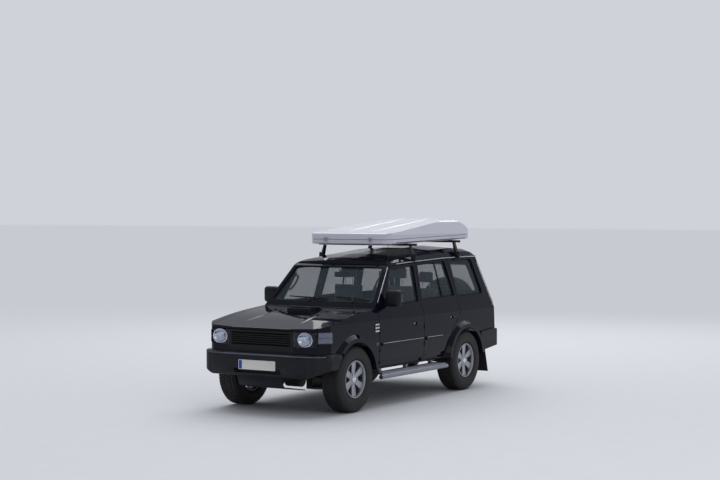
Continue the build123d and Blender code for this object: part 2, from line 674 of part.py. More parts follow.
def rim_solid(brake):
    """Alloy rim with broad spokes, hub and, on a running wheel, its brake disc."""
    barrel = turned(RIM_BARREL)
    result = barrel + ring(DISH_X - 20, DISH_X + SPOKE_THICK, SPINDLE_RADIUS + SEAT_GAP, HUB_RADIUS)
    for index in range(SPOKES):
        angle = 360 / SPOKES * index + 90
        spoke = block(DISH_X, DISH_X + SPOKE_THICK, -SPOKE_WIDTH / 2, SPOKE_WIDTH / 2, 50, BEAD_RADIUS - 4)
        result += Rot(angle, 0, 0) * spoke
    result += ring(DISH_X + SPOKE_THICK - 4, DISH_X + SPOKE_THICK + 8, 0, HUB_RADIUS - 30)
    if brake:
        result += ring(HUB_BACK_X, DISH_X, SPINDLE_RADIUS + SEAT_GAP, SPINDLE_RADIUS + 24)
        result += ring(HUB_BACK_X, HUB_BACK_X + 16, SPINDLE_RADIUS + SEAT_GAP, BRAKE_RADIUS)
    return result


rim = rim_solid(True)
SPINDLE_END_X = HALF_TRACK + DISH_X + SPOKE_THICK - 4 - SEAT_GAP

# Spare wheel on the tailgate
SPARE_Y = REAR_END_Y - TYRE_WIDTH / 2
spare_turn = Pos(SPARE_X, SPARE_Y, SPARE_Z) * Rot(0, 0, 90)
spare_tyre = spare_turn * tyre
spare_rim = spare_turn * rim_solid(False)
carrier_front = Plane(origin=(SPARE_X, TAIL_Y - 20, SPARE_Z), z_dir=(0, 1, 0))
carrier_end_y = SPARE_Y + DISH_X - 20 - SEAT_GAP
carrier = extrude(carrier_front * Circle(HUB_RADIUS - 8), amount=carrier_end_y - TAIL_Y + 20)
carrier += block(-150, 150, TAIL_Y - 20, TAIL_Y + 12, SPARE_Z - 150, SPARE_Z + 90)
tailgate += carrier - cabin_form(DOOR_SKIN)

# Knuckles: kingpin post with the spindle that carries a front wheel
LOWER_BALL_Z = AXLE_Z - 105
UPPER_BALL_Z = AXLE_Z + 108
POST_RADIUS = 24.0
post_height = UPPER_BALL_Z - LOWER_BALL_Z - 2 * SEAT_GAP
knuckle = Pos(STEER_X, FRONT_Y, (UPPER_BALL_Z + LOWER_BALL_Z) / 2) * Cylinder(POST_RADIUS, post_height)
knuckle += rod((STEER_X, FRONT_Y, AXLE_Z), (SPINDLE_END_X, FRONT_Y, AXLE_Z), SPINDLE_RADIUS)
knuckle += block(STEER_X - 10, STEER_X + 14, FRONT_Y - 60, FRONT_Y + 60, AXLE_Z - 60, AXLE_Z + 60)

# Ladder frame: rail outline, columns y, z, radius
RAIL_FRONT_Y = FRONT_END_Y + 62
RAIL_END_Y = TAIL_Y - WALL - 5
RAIL_TOP_Z = RAIL_BOTTOM_Z + RAIL_HEIGHT
KICK_Y = CARGO_FLOOR_Y + 15
RAIL_SIDE = [
    (RAIL_FRONT_Y, RAIL_BOTTOM_Z, 0),
    (RAIL_FRONT_Y, RAIL_TOP_Z, 0),
    (KICK_Y, RAIL_TOP_Z, 60),
    (KICK_Y + 150, RAIL_TOP_Z + RAIL_KICK, 60),
    (RAIL_END_Y, RAIL_TOP_Z + RAIL_KICK, 0),
    (RAIL_END_Y, RAIL_BOTTOM_Z + RAIL_KICK, 0),
    (KICK_Y + 190, RAIL_BOTTOM_Z + RAIL_KICK, 60),
    (KICK_Y + 40, RAIL_BOTTOM_Z, 60),
]
rail_in = RAIL_X - RAIL_WIDTH / 2
rail_out = RAIL_X + RAIL_WIDTH / 2
frame = pair(side_prism(RAIL_SIDE, rail_in, rail_out))
# Crossmembers, columns y, bottom z, height
CROSSMEMBERS = [
    (RAIL_FRONT_Y + 60, RAIL_BOTTOM_Z + 10, 80.0),
    (REAR_Y - 825, RAIL_BOTTOM_Z + 40, 60.0),
    (KICK_Y + 230, RAIL_BOTTOM_Z + RAIL_KICK + 10, 80.0),
    (RAIL_END_Y - 40, RAIL_BOTTOM_Z + RAIL_KICK, 90.0),
]
for cross_y, cross_z, cross_height in CROSSMEMBERS:
    frame += block(-rail_in - 5, rail_in + 5, cross_y - 35, cross_y + 35, cross_z, cross_z + cross_height)
GEARBOX_BOTTOM_Z = 335.0
GEARBOX_CROSS_Y = 1050.0
frame += pair(block(rail_in, rail_out, GEARBOX_CROSS_Y - 45, GEARBOX_CROSS_Y + 45, 275, RAIL_BOTTOM_Z + 5))
cradle_top = GEARBOX_BOTTOM_Z - SEAT_GAP
frame += block(-rail_in - 5, rail_in + 5, GEARBOX_CROSS_Y - 45, GEARBOX_CROSS_Y + 45, 275, cradle_top)
# Body mounts, columns y, floor height above
BODY_MOUNTS = [
    (700.0, FLOOR_Z),
    (1400.0, FLOOR_Z),
    (CARGO_FLOOR_Y - 140, FLOOR_Z),
    (CARGO_FLOOR_Y + 320, CARGO_FLOOR_Z),
    (TAIL_Y - 275, CARGO_FLOOR_Z),
]
for mount_y, floor_z in BODY_MOUNTS:
    top = floor_z - SEAT_GAP
    bottom = RAIL_TOP_Z - 5 if floor_z == FLOOR_Z else RAIL_TOP_Z + RAIL_KICK - 5
    mount = Pos(RAIL_X, mount_y, (top + bottom) / 2) * Cylinder(32, top - bottom)
    frame += pair(mount)
# Holes for a towing bracket, in the underside of each rail's tail
TOW_HOLE_RADIUS = 7.0
TOW_HOLE_DEPTH = 60.0
for hole_y in (RAIL_END_Y - 190, RAIL_END_Y - 60):
    hole = Pos(RAIL_X, hole_y, RAIL_BOTTOM_Z + RAIL_KICK) * Cylinder(TOW_HOLE_RADIUS, 2 * TOW_HOLE_DEPTH)
    frame -= pair(hole)

# Front suspension: cradle, final drive, half shafts and wishbones
DIFF_RADIUS = 92.0
WISHBONE_X = rail_out + SEAT_GAP
front_suspension = block(-rail_out, rail_out, -75, 75, 395, RAIL_BOTTOM_Z - SEAT_GAP)
front_suspension += Pos(0, 0, AXLE_Z - 40) * Rot(0, 90, 0) * Cylinder(DIFF_RADIUS, 200)
shaft_end = STEER_X - POST_RADIUS - SEAT_GAP
front_suspension += rod((-shaft_end, 0, AXLE_Z), (shaft_end, 0, AXLE_Z), 13)
# Wishbone plan, columns x, y, radius
WISHBONE = [
    (rail_in, -150, 0),
    (rail_out, -150, 20),
    (STEER_X, -24, 23),
    (STEER_X + 22, 0, 0),
    (STEER_X, 24, 23),
    (rail_out, 150, 20),
    (rail_in, 150, 0),
    (rail_in, 60, 0),
    (rail_out + 60, 0, 20),
    (rail_in, -60, 0),
]
lower_arm = plan_prism(WISHBONE, LOWER_BALL_Z - 26, LOWER_BALL_Z)
lower_arm += block(rail_in - 60, rail_out, -150, -75, LOWER_BALL_Z - 26, LOWER_BALL_Z)
lower_arm += block(rail_in - 60, rail_out, 75, 150, LOWER_BALL_Z - 26, LOWER_BALL_Z)
lower_arm += block(rail_in - 60, rail_in + 20, -150, 150, LOWER_BALL_Z - 26, RAIL_BOTTOM_Z - SEAT_GAP)
front_suspension += pair(lower_arm)
upper_arm = plan_prism(WISHBONE, UPPER_BALL_Z, UPPER_BALL_Z + 22)
upper_arm &= block(WISHBONE_X, FAR_X, -200, 200, 0, HIGH)
upper_arms = pair(upper_arm)

# Rear axle: beam, final drive, spindles, springs and trailing arms
AXLE_PROFILE = half_to_full(
    [
        (SPINDLE_END_X, 0, 0),
        (SPINDLE_END_X, SPINDLE_RADIUS, 0),
        (620, SPINDLE_RADIUS, 0),
        (620, 42, 0),
        (130, 42, 0),
        (105, 105, 0),
        (55, 130, 0),
    ]
)
rear_axle = Pos(0, REAR_Y, AXLE_Z) * turned(AXLE_PROFILE)
spring_top = RAIL_BOTTOM_Z + RAIL_KICK - SEAT_GAP
spring_mid = (AXLE_Z + spring_top) / 2
rear_axle += pair(Pos(RAIL_X, REAR_Y, spring_mid) * Cylinder(52, spring_top - AXLE_Z))
ARM_Z = RAIL_BOTTOM_Z - SEAT_GAP - 26
ARM_Y = REAR_Y - 765
arm = rod((RAIL_X, ARM_Y, ARM_Z), (RAIL_X + 60, REAR_Y, AXLE_Z), 22)
arm += rod((RAIL_X - 30, ARM_Y, ARM_Z), (RAIL_X + 30, ARM_Y, ARM_Z), 26)
rear_axle += pair(arm)

# Engine as one plain block, with its feet on the rails
ENGINE_BACK_Y = 310.0
ENGINE = [
    (-400, 470, 30),
    (-400, 900, 60),
    (-250, 965, 40),
    (250, 950, 40),
    (ENGINE_BACK_Y, 800, 40),
    (ENGINE_BACK_Y, 470, 30),
]
engine = side_prism(ENGINE, -245, 245)
engine += block(-rail_in + SEAT_GAP, rail_in - SEAT_GAP, -40, 60, 480, 545)

# Gearbox, transfer case and propeller shafts
GEARBOX = [
    (ENGINE_BACK_Y + SEAT_GAP, 350, 0),
    (ENGINE_BACK_Y + SEAT_GAP, 560, 0),
    (480, 560, 40),
    (620, 530, 40),
    (1450, 500, 20),
    (1450, GEARBOX_BOTTOM_Z, 20),
    (700, GEARBOX_BOTTOM_Z, 60),
    (480, 345, 40),
]
driveline = side_prism(GEARBOX, -135, 135)
driveline += block(-260, 100, 1180, 1430, 345, 480)
driveline += rod((0, 1430, AXLE_Z), (0, REAR_Y - 130 - SEAT_GAP, AXLE_Z), 32)
driveline += rod((-205, 1200, 390), (-205, 110, 345), 20)

# Fuel tank under the load floor
TANK_DEPTH = 250.0
tank_top = CARGO_FLOOR_Z - SEAT_GAP
TANK_HALF = rail_in - 25
fuel_tank = block(-TANK_HALF, TANK_HALF, REAR_Y + 220, RAIL_END_Y - 110, tank_top - TANK_DEPTH, tank_top)
fuel_tank = fillet(fuel_tank.edges().filter_by(Axis.X), 40)

# Exhaust: pipe along the car's right, with the silencer
EXHAUST_X = -470.0
EXHAUST_PIPE = [
    (-215, 200, 470 - SEAT_GAP),
    (-215, 200, 405),
    (EXHAUST_X, 520, 405),
    (EXHAUST_X, REAR_Y - 345, 430),
    (EXHAUST_X, REAR_Y - 135, 520),
    (EXHAUST_X, REAR_Y + 175, 520),
    (EXHAUST_X, TAIL_Y + 65, 470),
]
exhaust = rod(EXHAUST_PIPE[0], EXHAUST_PIPE[1], 24)
for start, end in zip(EXHAUST_PIPE[1:], EXHAUST_PIPE[2:]):
    exhaust += rod(start, end, 24)
    exhaust += Pos(*start) * Sphere(24)
exhaust += rod((EXHAUST_X, 1450, 418), (EXHAUST_X, REAR_Y - 775, 424), 82)


# Front end: the bonnet, wings, lamps and grille share one outer form
NOSE_LOW_Z = 560.0
CLIP_END_Y = COWL_Y + 80


def clip_side(drop=0.0):
    """Side outline of the front end, columns y, z, radius, its top let down by a named amount."""
    return [
        (NOSE_Y + 14, NOSE_LOW_Z, 0),
        (NOSE_Y, BONNET_FRONT_Z - 60 - drop, 0),
        (NOSE_Y + 10, BONNET_FRONT_Z - drop, 14),
        (NOSE_Y + 628, BONNET_FRONT_Z + 120 - drop, 5600),
        (CLIP_END_Y, BONNET_REAR_Z + 13 - drop, 0),
        (CLIP_END_Y, NOSE_LOW_Z, 0),
    ]


# Plan of the front end, half, columns x, y, radius
CLIP_PLAN = half_to_full(
    [
        (FLARE_X + 10, CLIP_END_Y, 0),
        (FLARE_X + 10, NOSE_Y + 298, 200),
        (BONNET_X + 10, NOSE_Y + 66, 130),
        (400, NOSE_Y + 14, 900),
        (200, NOSE_Y, 0),
    ]
)
clip_plan = plan_prism(CLIP_PLAN, LOW, HIGH)
clip_section = front_prism(CABIN_SECTION, FRONT_END_Y, CLIP_END_Y)


def clip_form(drop=0.0):
    """Front end under the bonnet line, or under that line let down by an amount."""
    return side_prism(clip_side(drop), -FAR_X, FAR_X) & clip_plan & clip_section


front_clip = clip_form()
under_bonnet = clip_form(BONNET_THICKNESS)
low_clip = clip_form(BONNET_THICKNESS + PANEL_GAP)
LAMP_LID_Z = LAMP_TOP_Z + PANEL_GAP

# Bonnet: skin with a raised middle and a forward air scoop, hinged at its back edge
BONNET_PIN_Y = BONNET_REAR_Y + PANEL_GAP
BONNET_PIN_Z = BONNET_REAR_Z - 10.0
BONNET_HINGE_X = 590.0
COWL_FRONT_Y = BONNET_REAR_Y + 2 * PANEL_GAP + 2
bonnet_area = block(-BONNET_X, BONNET_X, FRONT_END_Y, BONNET_REAR_Y, LAMP_LID_Z, HIGH)
bonnet = (front_clip - Pos(0, 24, 0) * under_bonnet) & bonnet_area
# Raised middle, plan half, columns x, y, radius
BULGE_PLAN = half_to_full([(400, BONNET_REAR_Y - 20, 0), (385, NOSE_Y + 348, 60), (240, NOSE_Y + 128, 80)])
BULGE_RISE = 16.0
bulge_plane = Plane(origin=(0, 0, BONNET_FRONT_Z - 40), x_dir=(1, 0, 0), z_dir=(0, 0, 1))
bulge = extrude(section_face(BULGE_PLAN, bulge_plane), amount=400, taper=14)
raised = side_prism(clip_side(-BULGE_RISE), -FAR_X, FAR_X) - side_prism(clip_side(10), -FAR_X, FAR_X)
bonnet += bulge & raised
SCOOP_HALF = 185.0
SCOOP_Y = 60.0
SCOOP_LENGTH = 330.0
SCOOP_RISE = 52.0
scoop_z = BONNET_FRONT_Z + 120
scoop_side = [
    (SCOOP_Y, scoop_z - 10, 0),
    (SCOOP_Y + 14, scoop_z + SCOOP_RISE + 14, 16),
    (SCOOP_Y + 150, scoop_z + SCOOP_RISE + 22, 200),
    (SCOOP_Y + SCOOP_LENGTH, scoop_z + 40, 0),
    (SCOOP_Y + SCOOP_LENGTH, scoop_z - 10, 0),
]
scoop_face = section_face(
    [
        (-SCOOP_HALF, SCOOP_Y, 30),
        (SCOOP_HALF, SCOOP_Y, 30),
        (SCOOP_HALF, SCOOP_Y + SCOOP_LENGTH, 60),
        (-SCOOP_HALF, SCOOP_Y + SCOOP_LENGTH, 60),
    ],
    Plane.XY.offset(scoop_z - 10),
)
scoop = extrude(scoop_face, amount=200, taper=18) & side_prism(scoop_side, -SCOOP_HALF, SCOOP_HALF)
scoop -= block(
    -SCOOP_HALF + 36, SCOOP_HALF - 36, SCOOP_Y - 5, SCOOP_Y + 90, scoop_z + 22, scoop_z + SCOOP_RISE + 6
)
bonnet += scoop
for side_x in (-BONNET_HINGE_X, BONNET_HINGE_X):
    pin = (side_x, BONNET_PIN_Y, BONNET_PIN_Z)
    bonnet -= hinge_pocket(pin, (1, 0, 0))
    leaf = block(
        side_x - HALF_KNUCKLE, side_x + HALF_KNUCKLE, BONNET_PIN_Y - LEAF_REACH, BONNET_PIN_Y,
        BONNET_PIN_Z - LEAF, BONNET_PIN_Z,
    )
    bonnet += moving_knuckle(pin, (1, 0, 0), leaf)

# Cowl between the bonnet and the windscreen, part of the body
cowl = front_clip & block(-BONNET_X, BONNET_X, COWL_FRONT_Y, COWL_Y + 30, BONNET_FRONT_Z + 80, HIGH)
tub += cowl - side_prism(CABIN_SIDE, -FAR_X, FAR_X, 1)
for side_x in (-BONNET_HINGE_X, BONNET_HINGE_X):
    pin = (side_x, BONNET_PIN_Y, BONNET_PIN_Z)
    tub -= hinge_pocket(pin, (1, 0, 0))
    tub += fixed_knuckles(pin, (1, 0, 0))
    for low_x in (side_x - 3 * HALF_KNUCKLE, side_x + HALF_KNUCKLE + SEAT_GAP):
        high_x = low_x + KNUCKLE_LENGTH - SEAT_GAP
        leaf_end_y = BONNET_PIN_Y + LEAF_REACH
        tub += block(low_x, high_x, BONNET_PIN_Y, leaf_end_y, BONNET_PIN_Z - LEAF, BONNET_PIN_Z)

# Wings: outer skin, inner wall beside the engine bay, arch between them
WING_X = BONNET_X + PANEL_GAP
wing_end = COWL_Y - SEAT_GAP
behind_wing = block(0, FAR_X, wing_end, COWL_Y + 200, LOW, HIGH)
front_flare = arch_flare(FRONT_Y) - (inner_core(WING_SKIN) & behind_wing)
arch_front = arch_room(FRONT_Y, INNER_WING_X + INNER_WING_WALL)
wing = front_clip & block(WING_X, FAR_X, FRONT_END_Y, wing_end, SILL_Z, HIGH)
wing += low_clip & block(INNER_WING_X, WING_X + 10, FRONT_END_Y, wing_end, FLOOR_Z + 20, HIGH)
wing += block(WING_X, LOWER_SIDE_X - 30, 300, wing_end, SILL_Z, NOSE_LOW_Z + 10)
wing += front_flare
tail_skin = front_prism(CABIN_SECTION, wing_end - 5, WING_TAIL_Y) - inner_core(WING_SKIN)
wing += tail_skin & block(0, FAR_X, 0, COWL_Y + 200, LOW, BELT_Z - 41)
wing -= block(0, BONNET_X + SEAT_GAP, COWL_FRONT_Y - SEAT_GAP, COWL_Y, BONNET_FRONT_Z + 80 - SEAT_GAP, HIGH)
bay_side = block(
    INNER_WING_X + INNER_WING_WALL, BONNET_X - 14, LAMP_BACK_Y + 40, wing_end - 30, NOSE_LOW_Z + 60, HIGH,
)
wing -= bay_side - arch_room(FRONT_Y, INNER_WING_X + INNER_WING_WALL, LINER)
wing -= arch_front
wing -= block(0, LAMP_INNER_X, FRONT_END_Y, LAMP_BACK_Y + SEAT_GAP, LOW, HIGH)
lamp_x = LAMP_OUTER_X + SEAT_GAP
wing -= block(0, lamp_x, FRONT_END_Y, LAMP_BACK_Y + SEAT_GAP, LAMP_BOTTOM_Z - SEAT_GAP, HIGH)
TURN_INNER_X = LAMP_OUTER_X + 10
TURN_BACK_Y = NOSE_Y + 250.0
TURN_BOTTOM_Z = 838.0
turn_box = block(TURN_INNER_X, FAR_X, FRONT_END_Y, TURN_BACK_Y, TURN_BOTTOM_Z, LAMP_TOP_Z)
turn_lamp = turn_box & front_clip - block(0, BONNET_X + 40, LAMP_BACK_Y, 0, LOW, HIGH)
turn_pocket = block(
    TURN_INNER_X - SEAT_GAP, FAR_X, FRONT_END_Y, TURN_BACK_Y + SEAT_GAP, TURN_BOTTOM_Z - SEAT_GAP,
    LAMP_TOP_Z + SEAT_GAP,
)
wing -= turn_pocket - block(0, BONNET_X + 40 - SEAT_GAP, LAMP_BACK_Y + SEAT_GAP, 0, LOW, HIGH)
wing -= block(0, FAR_X, FRONT_END_Y, BUMPER_END_Y + 30, LOW, BUMPER_TOP_Z + 4)
lamp_room = block(LAMP_INNER_X, LAMP_OUTER_X, FRONT_END_Y, LAMP_BACK_Y, LAMP_BOTTOM_Z, LAMP_TOP_Z)
headlamp = front_clip & lamp_room

# Grille panel between the lamps
GRILLE_HALF = LAMP_INNER_X - SEAT_GAP
GRILLE_TOP_Z = LAMP_TOP_Z
GRILLE_LOW_Z = BUMPER_TOP_Z + 4
OPENING_HALF = GRILLE_HALF - 42
OPENING_LOW_Z = LAMP_BOTTOM_Z + 6
OPENING_TOP_Z = GRILLE_TOP_Z - 22
GRILLE_BARS = 5
panel_box = block(-GRILLE_HALF, GRILLE_HALF, FRONT_END_Y, NOSE_Y + 60, GRILLE_LOW_Z, GRILLE_TOP_Z)
grille = front_clip & panel_box
grille += block(-GRILLE_HALF, GRILLE_HALF, NOSE_Y + 40, LAMP_BACK_Y, GRILLE_LOW_Z, GRILLE_LOW_Z + 60)
grille -= block(-OPENING_HALF, OPENING_HALF, FRONT_END_Y, 0, OPENING_LOW_Z, OPENING_TOP_Z)
bar_pitch = (OPENING_TOP_Z - OPENING_LOW_Z) / (GRILLE_BARS + 1)
for index in range(GRILLE_BARS):
    bar_z = OPENING_LOW_Z + (index + 1) * bar_pitch
    slat = block(-OPENING_HALF - 5, OPENING_HALF + 5, NOSE_Y + 12, NOSE_Y + 50, bar_z - 6, bar_z + 6)
    grille += slat
for post_x in (-OPENING_HALF / 3, OPENING_HALF / 3):
    grille += block(post_x - 5, post_x + 5, NOSE_Y + 28, NOSE_Y + 50, OPENING_LOW_Z - 5, OPENING_TOP_Z + 5)
radiator = block(-rail_in, rail_in, NOSE_Y + 150, NOSE_Y + 205, RAIL_TOP_Z + 20, GRILLE_TOP_Z - 15)
radiator += block(-rail_out, rail_out, NOSE_Y + 150, NOSE_Y + 205, RAIL_TOP_Z + SEAT_GAP, RAIL_TOP_Z + 25)

# Front bumper: hollow moulding with a lower guard
BUMPER_PLAN = half_to_full(
    [
        (BUMPER_X, BUMPER_END_Y + 30, 0),
        (BUMPER_X, FRONT_END_Y + 230, 120),
        (775, FRONT_END_Y + 62, 150),
        (430, FRONT_END_Y, 900),
    ]
)
BUMPER_SIDE = [
    (FRONT_END_Y + 14, BUMPER_BOTTOM_Z, 60),
    (FRONT_END_Y, 560, 0),
    (FRONT_END_Y, BUMPER_TOP_Z - 30, 0),
    (FRONT_END_Y + 20, BUMPER_TOP_Z, 16),
    (BUMPER_END_Y + 30, BUMPER_TOP_Z, 0),
    (BUMPER_END_Y + 30, BUMPER_BOTTOM_Z, 0),
]
BUMPER_FRONT = half_to_full(
    [
        (BUMPER_X + 5, BUMPER_TOP_Z + 5, 0),
        (BUMPER_X + 5, 535, 50),
        (660, BUMPER_BOTTOM_Z, 250),
    ]
)
BUMPER_WALL = 24.0
front_bumper = plan_prism(BUMPER_PLAN, LOW, HIGH) & side_prism(BUMPER_SIDE, -FAR_X, FAR_X)
front_bumper &= front_prism(BUMPER_FRONT, FRONT_END_Y - 5, 0)
hollow = plan_prism(BUMPER_PLAN, LOW, BUMPER_TOP_Z - BUMPER_WALL, BUMPER_WALL)
open_below = block(-FAR_X, FAR_X, FRONT_END_Y + 50, 0, LOW, 600)
hollow &= side_prism(BUMPER_SIDE, -FAR_X, FAR_X, BUMPER_WALL) + open_below
front_bumper -= hollow
front_bumper -= block(-FAR_X, FAR_X, BUMPER_END_Y, 0, LOW, HIGH)
front_bumper -= pair(arch_room(FRONT_Y, INNER_WING_X))
front_bumper -= block(-INNER_WING_X - 60, INNER_WING_X + 60, LAMP_BACK_Y, 0, LOW, HIGH)
intake = block(-330, 330, FRONT_END_Y - 5, FRONT_END_Y + 60, BUMPER_BOTTOM_Z + 42, BUMPER_BOTTOM_Z + 92)
front_bumper -= fillet(intake.edges().filter_by(Axis.Y), 20)
GUARD = [
    (FRONT_END_Y + 40, BUMPER_BOTTOM_Z + 10, 0),
    (FRONT_END_Y + 100, 315, 40),
    (FRONT_END_Y + 540, 250, 0),
    (FRONT_END_Y + 540, 262, 0),
    (FRONT_END_Y + 106, 329, 40),
    (FRONT_END_Y + 60, BUMPER_BOTTOM_Z + 10, 0),
]
front_bumper += side_prism(GUARD, -rail_in + 10, rail_in - 10)
horn = block(
    rail_in + 4, rail_out, FRONT_END_Y + BUMPER_WALL - 8, RAIL_FRONT_Y - SEAT_GAP,
    RAIL_BOTTOM_Z + 20, RAIL_TOP_Z - 2,
)
front_bumper += pair(horn)

# Rear bumper with a step under the spare wheel
rear_bumper = rear_bumper_hull(0)
rear_bumper -= block(-BUMPER_STEP_X, BUMPER_STEP_X, 0, FAR_X * 5, BUMPER_STEP_Z, HIGH)

# Rear lamps in the body's rear corners
REAR_LAMP_LOW_Z = 838.0
REAR_LAMP_TOP_Z = 1085.0
lamp_block = block(TAILGATE_X + 32, WAIST_X - 8, TAIL_Y - 55, TAIL_END_Y, REAR_LAMP_LOW_Z, REAR_LAMP_TOP_Z)
rear_lamp = outer_cabin & lamp_block
lamp_pocket = block(
    TAILGATE_X + 32 - SEAT_GAP, WAIST_X - 8 + SEAT_GAP, TAIL_Y - 55 - SEAT_GAP, TAIL_END_Y,
    REAR_LAMP_LOW_Z - SEAT_GAP, REAR_LAMP_TOP_Z + SEAT_GAP,
)
tub -= pair(lamp_pocket)

# Roof panel: crowned sections from the header to the tail, columns y, rise over the gutter
ROOF_RISE = [
    (HEADER_Y + 2, 24.0),
    (HEADER_Y + 130, 42.0),
    (HEADER_Y + 460, 62.0),
    (HEADER_Y + 915, 82.0),
    (HEADER_Y + 1265, 101.0),
    (REAR_TOP_Y - 480, ROOF_CROWN_RISE),
    (REAR_TOP_Y - 130, ROOF_CROWN_RISE - 22),
    (REAR_TOP_Y - 30, 62.0),
    (REAR_TOP_Y - 2, 18.0),
]
ROOF_FOOT = 70.0


def roof_section(y, rise):
    """One cross-section of the roof, from below the gutter line up to the crown."""
    base = gutter_z(y)
    half = [
        (GUTTER_X + 2, base - ROOF_FOOT, 0),
        (GUTTER_X + 2, base + 6, 0),
        (ROOF_SIDE_X, base + 6 + 0.55 * rise, 0),
        (ROOF_SIDE_X - 90, base + 0.95 * rise, 0),
        (150, base + rise + CROWN, 0),
    ]
    plane = Plane(origin=(0, y, 0), x_dir=(1, 0, 0), z_dir=(0, -1, 0))
    return section_face(half_to_full(half), plane)


roof_form = loft([roof_section(y, rise) for y, rise in ROOF_RISE], ruled=True)
ABOVE_GUTTER = [
    (HEADER_Y + 2, gutter_z(HEADER_Y + 2), 0),
    (CABIN_SIDE[5][0], CABIN_SIDE[5][1], 0),
    (CABIN_SIDE[6][0], CABIN_SIDE[6][1], 0),
    (REAR_TOP_Y - 2, GUTTER_Z, 0),
    (REAR_TOP_Y - 2, HIGH, 0),
    (HEADER_Y + 2, HIGH, 0),
]
roof = roof_form & side_prism(ABOVE_GUTTER, -FAR_X, FAR_X)
ROOF_RIM = 42.0
ROOM_HALF = ROOF_SIDE_X - ROOF_RIM
roof_room = block(-ROOM_HALF, ROOM_HALF, HEADER_Y + 110, REAR_TOP_Y - 110, LOW, HIGH)
roof -= (Pos(0, 0, -ROOF_SKIN) * roof_form) & roof_room

# The welded body comes apart at the sides' panels: floor with cowl and tail sill, two sides, roof frame
SIDE_SPLIT_X = 552.0
BELT_SPLIT_Z = BELT_Z + 200
body_side_left = tub & block(SIDE_SPLIT_X, FAR_X, 0, TAIL_END_Y, LOW, HIGH)
body_side_right = tub & block(-FAR_X, -SIDE_SPLIT_X, 0, TAIL_END_Y, LOW, HIGH)
body_tub = tub & block(-SIDE_SPLIT_X, SIDE_SPLIT_X, 0, TAIL_END_Y, LOW, BELT_SPLIT_Z)
roof += tub & block(-SIDE_SPLIT_X, SIDE_SPLIT_X, 0, TAIL_END_Y, BELT_SPLIT_Z, HIGH)

# Hard roof shell: tray and lid, its bottom and seam rising slightly to the back
SHELL_BOTTOM_FRONT_Z = 1930.0
SHELL_BOTTOM_REAR_Z = 1972.0
SEAM_GAP = 5.0


def shell_z(y, above):
    """Height of a line parallel to the shell's bottom at a place along the car."""
    share = (y - SHELL_FRONT_Y) / (SHELL_REAR_Y - SHELL_FRONT_Y)
    return SHELL_BOTTOM_FRONT_Z + share * (SHELL_BOTTOM_REAR_Z - SHELL_BOTTOM_FRONT_Z) + above


SHELL_PLAN = [
    (SHELL_HALF_WIDTH, SHELL_FRONT_Y, 130),
    (SHELL_HALF_WIDTH, SHELL_REAR_Y, 110),
    (-SHELL_HALF_WIDTH, SHELL_REAR_Y, 110),
    (-SHELL_HALF_WIDTH, SHELL_FRONT_Y, 130),
]


def shell_band(low, high, inset=0.0):
    """Slice of the shell between two lines parallel to its bottom."""
    table = [
        (SHELL_FRONT_Y - 50, shell_z(SHELL_FRONT_Y - 50, low), 0),
        (SHELL_REAR_Y + 50, shell_z(SHELL_REAR_Y + 50, low), 0),
        (SHELL_REAR_Y + 50, shell_z(SHELL_REAR_Y + 50, high), 0),
        (SHELL_FRONT_Y - 50, shell_z(SHELL_FRONT_Y - 50, high), 0),
    ]
    return side_prism(table, -FAR_X, FAR_X) & plan_prism(SHELL_PLAN, LOW, HIGH + 500, inset)


shell_base = shell_band(0, SHELL_BASE_HEIGHT - SEAM_GAP)
shell_base -= shell_band(SHELL_WALL, SHELL_BASE_HEIGHT, SHELL_WALL)
shell_base = chamfer(shell_base.faces().sort_by(Axis.Z)[0].edges(), 12)
LID_SIDE = [
    (SHELL_FRONT_Y - 1, shell_z(SHELL_FRONT_Y, SHELL_BASE_HEIGHT), 0),
    (SHELL_FRONT_Y + 14, 2066, 24),
    (SHELL_FRONT_Y + 330, 2092, 300),
    (SHELL_REAR_Y - 300, 2252, 160),
    (SHELL_REAR_Y - 60, 2150, 90),
    (SHELL_REAR_Y + 1, shell_z(SHELL_REAR_Y, SHELL_BASE_HEIGHT), 0),
]
LID_SECTION = half_to_full(
    [
        (SHELL_HALF_WIDTH, 1900, 0),
        (SHELL_HALF_WIDTH - 4, 2050, 0),
        (SHELL_HALF_WIDTH - 90, 2214, 60),
        (190, 2256, 120),
    ]
)
lid_plan = plan_prism(SHELL_PLAN, LOW, HIGH + 500)
shell_lid = side_prism(LID_SIDE, -FAR_X, FAR_X) & lid_plan
shell_lid &= front_prism(LID_SECTION, SHELL_FRONT_Y, SHELL_REAR_Y)
lid_inside = side_prism(LID_SIDE, -FAR_X, FAR_X, SHELL_WALL)
lid_inside &= front_prism(LID_SECTION, SHELL_FRONT_Y, SHELL_REAR_Y, SHELL_WALL)
lid_inside &= plan_prism(SHELL_PLAN, LOW, HIGH + 500, SHELL_WALL)
shell_lid -= lid_inside
shell_lid -= shell_band(0, SHELL_BASE_HEIGHT + SHELL_WALL + 20, SHELL_WALL)
LATCH_X = 330.0
LATCH_WIDTH = 46.0
latch_z = shell_z(SHELL_FRONT_Y, SHELL_BASE_HEIGHT)
latch = block(
    LATCH_X - LATCH_WIDTH / 2, LATCH_X + LATCH_WIDTH / 2, SHELL_FRONT_Y - 12, SHELL_FRONT_Y - SEAT_GAP,
    latch_z - 34, latch_z + 12,
)
latch += block(
    LATCH_X - LATCH_WIDTH / 2, LATCH_X + LATCH_WIDTH / 2, SHELL_FRONT_Y - 12, SHELL_FRONT_Y + 6,
    latch_z + 1, latch_z + 12,
)
shell_lid += pair(latch)
SHELL_HINGE_X = 380.0
SHELL_PIN_Y = SHELL_REAR_Y + KNUCKLE_RADIUS + 2
SHELL_PIN_Z = shell_z(SHELL_REAR_Y, SHELL_BASE_HEIGHT - SEAM_GAP / 2)
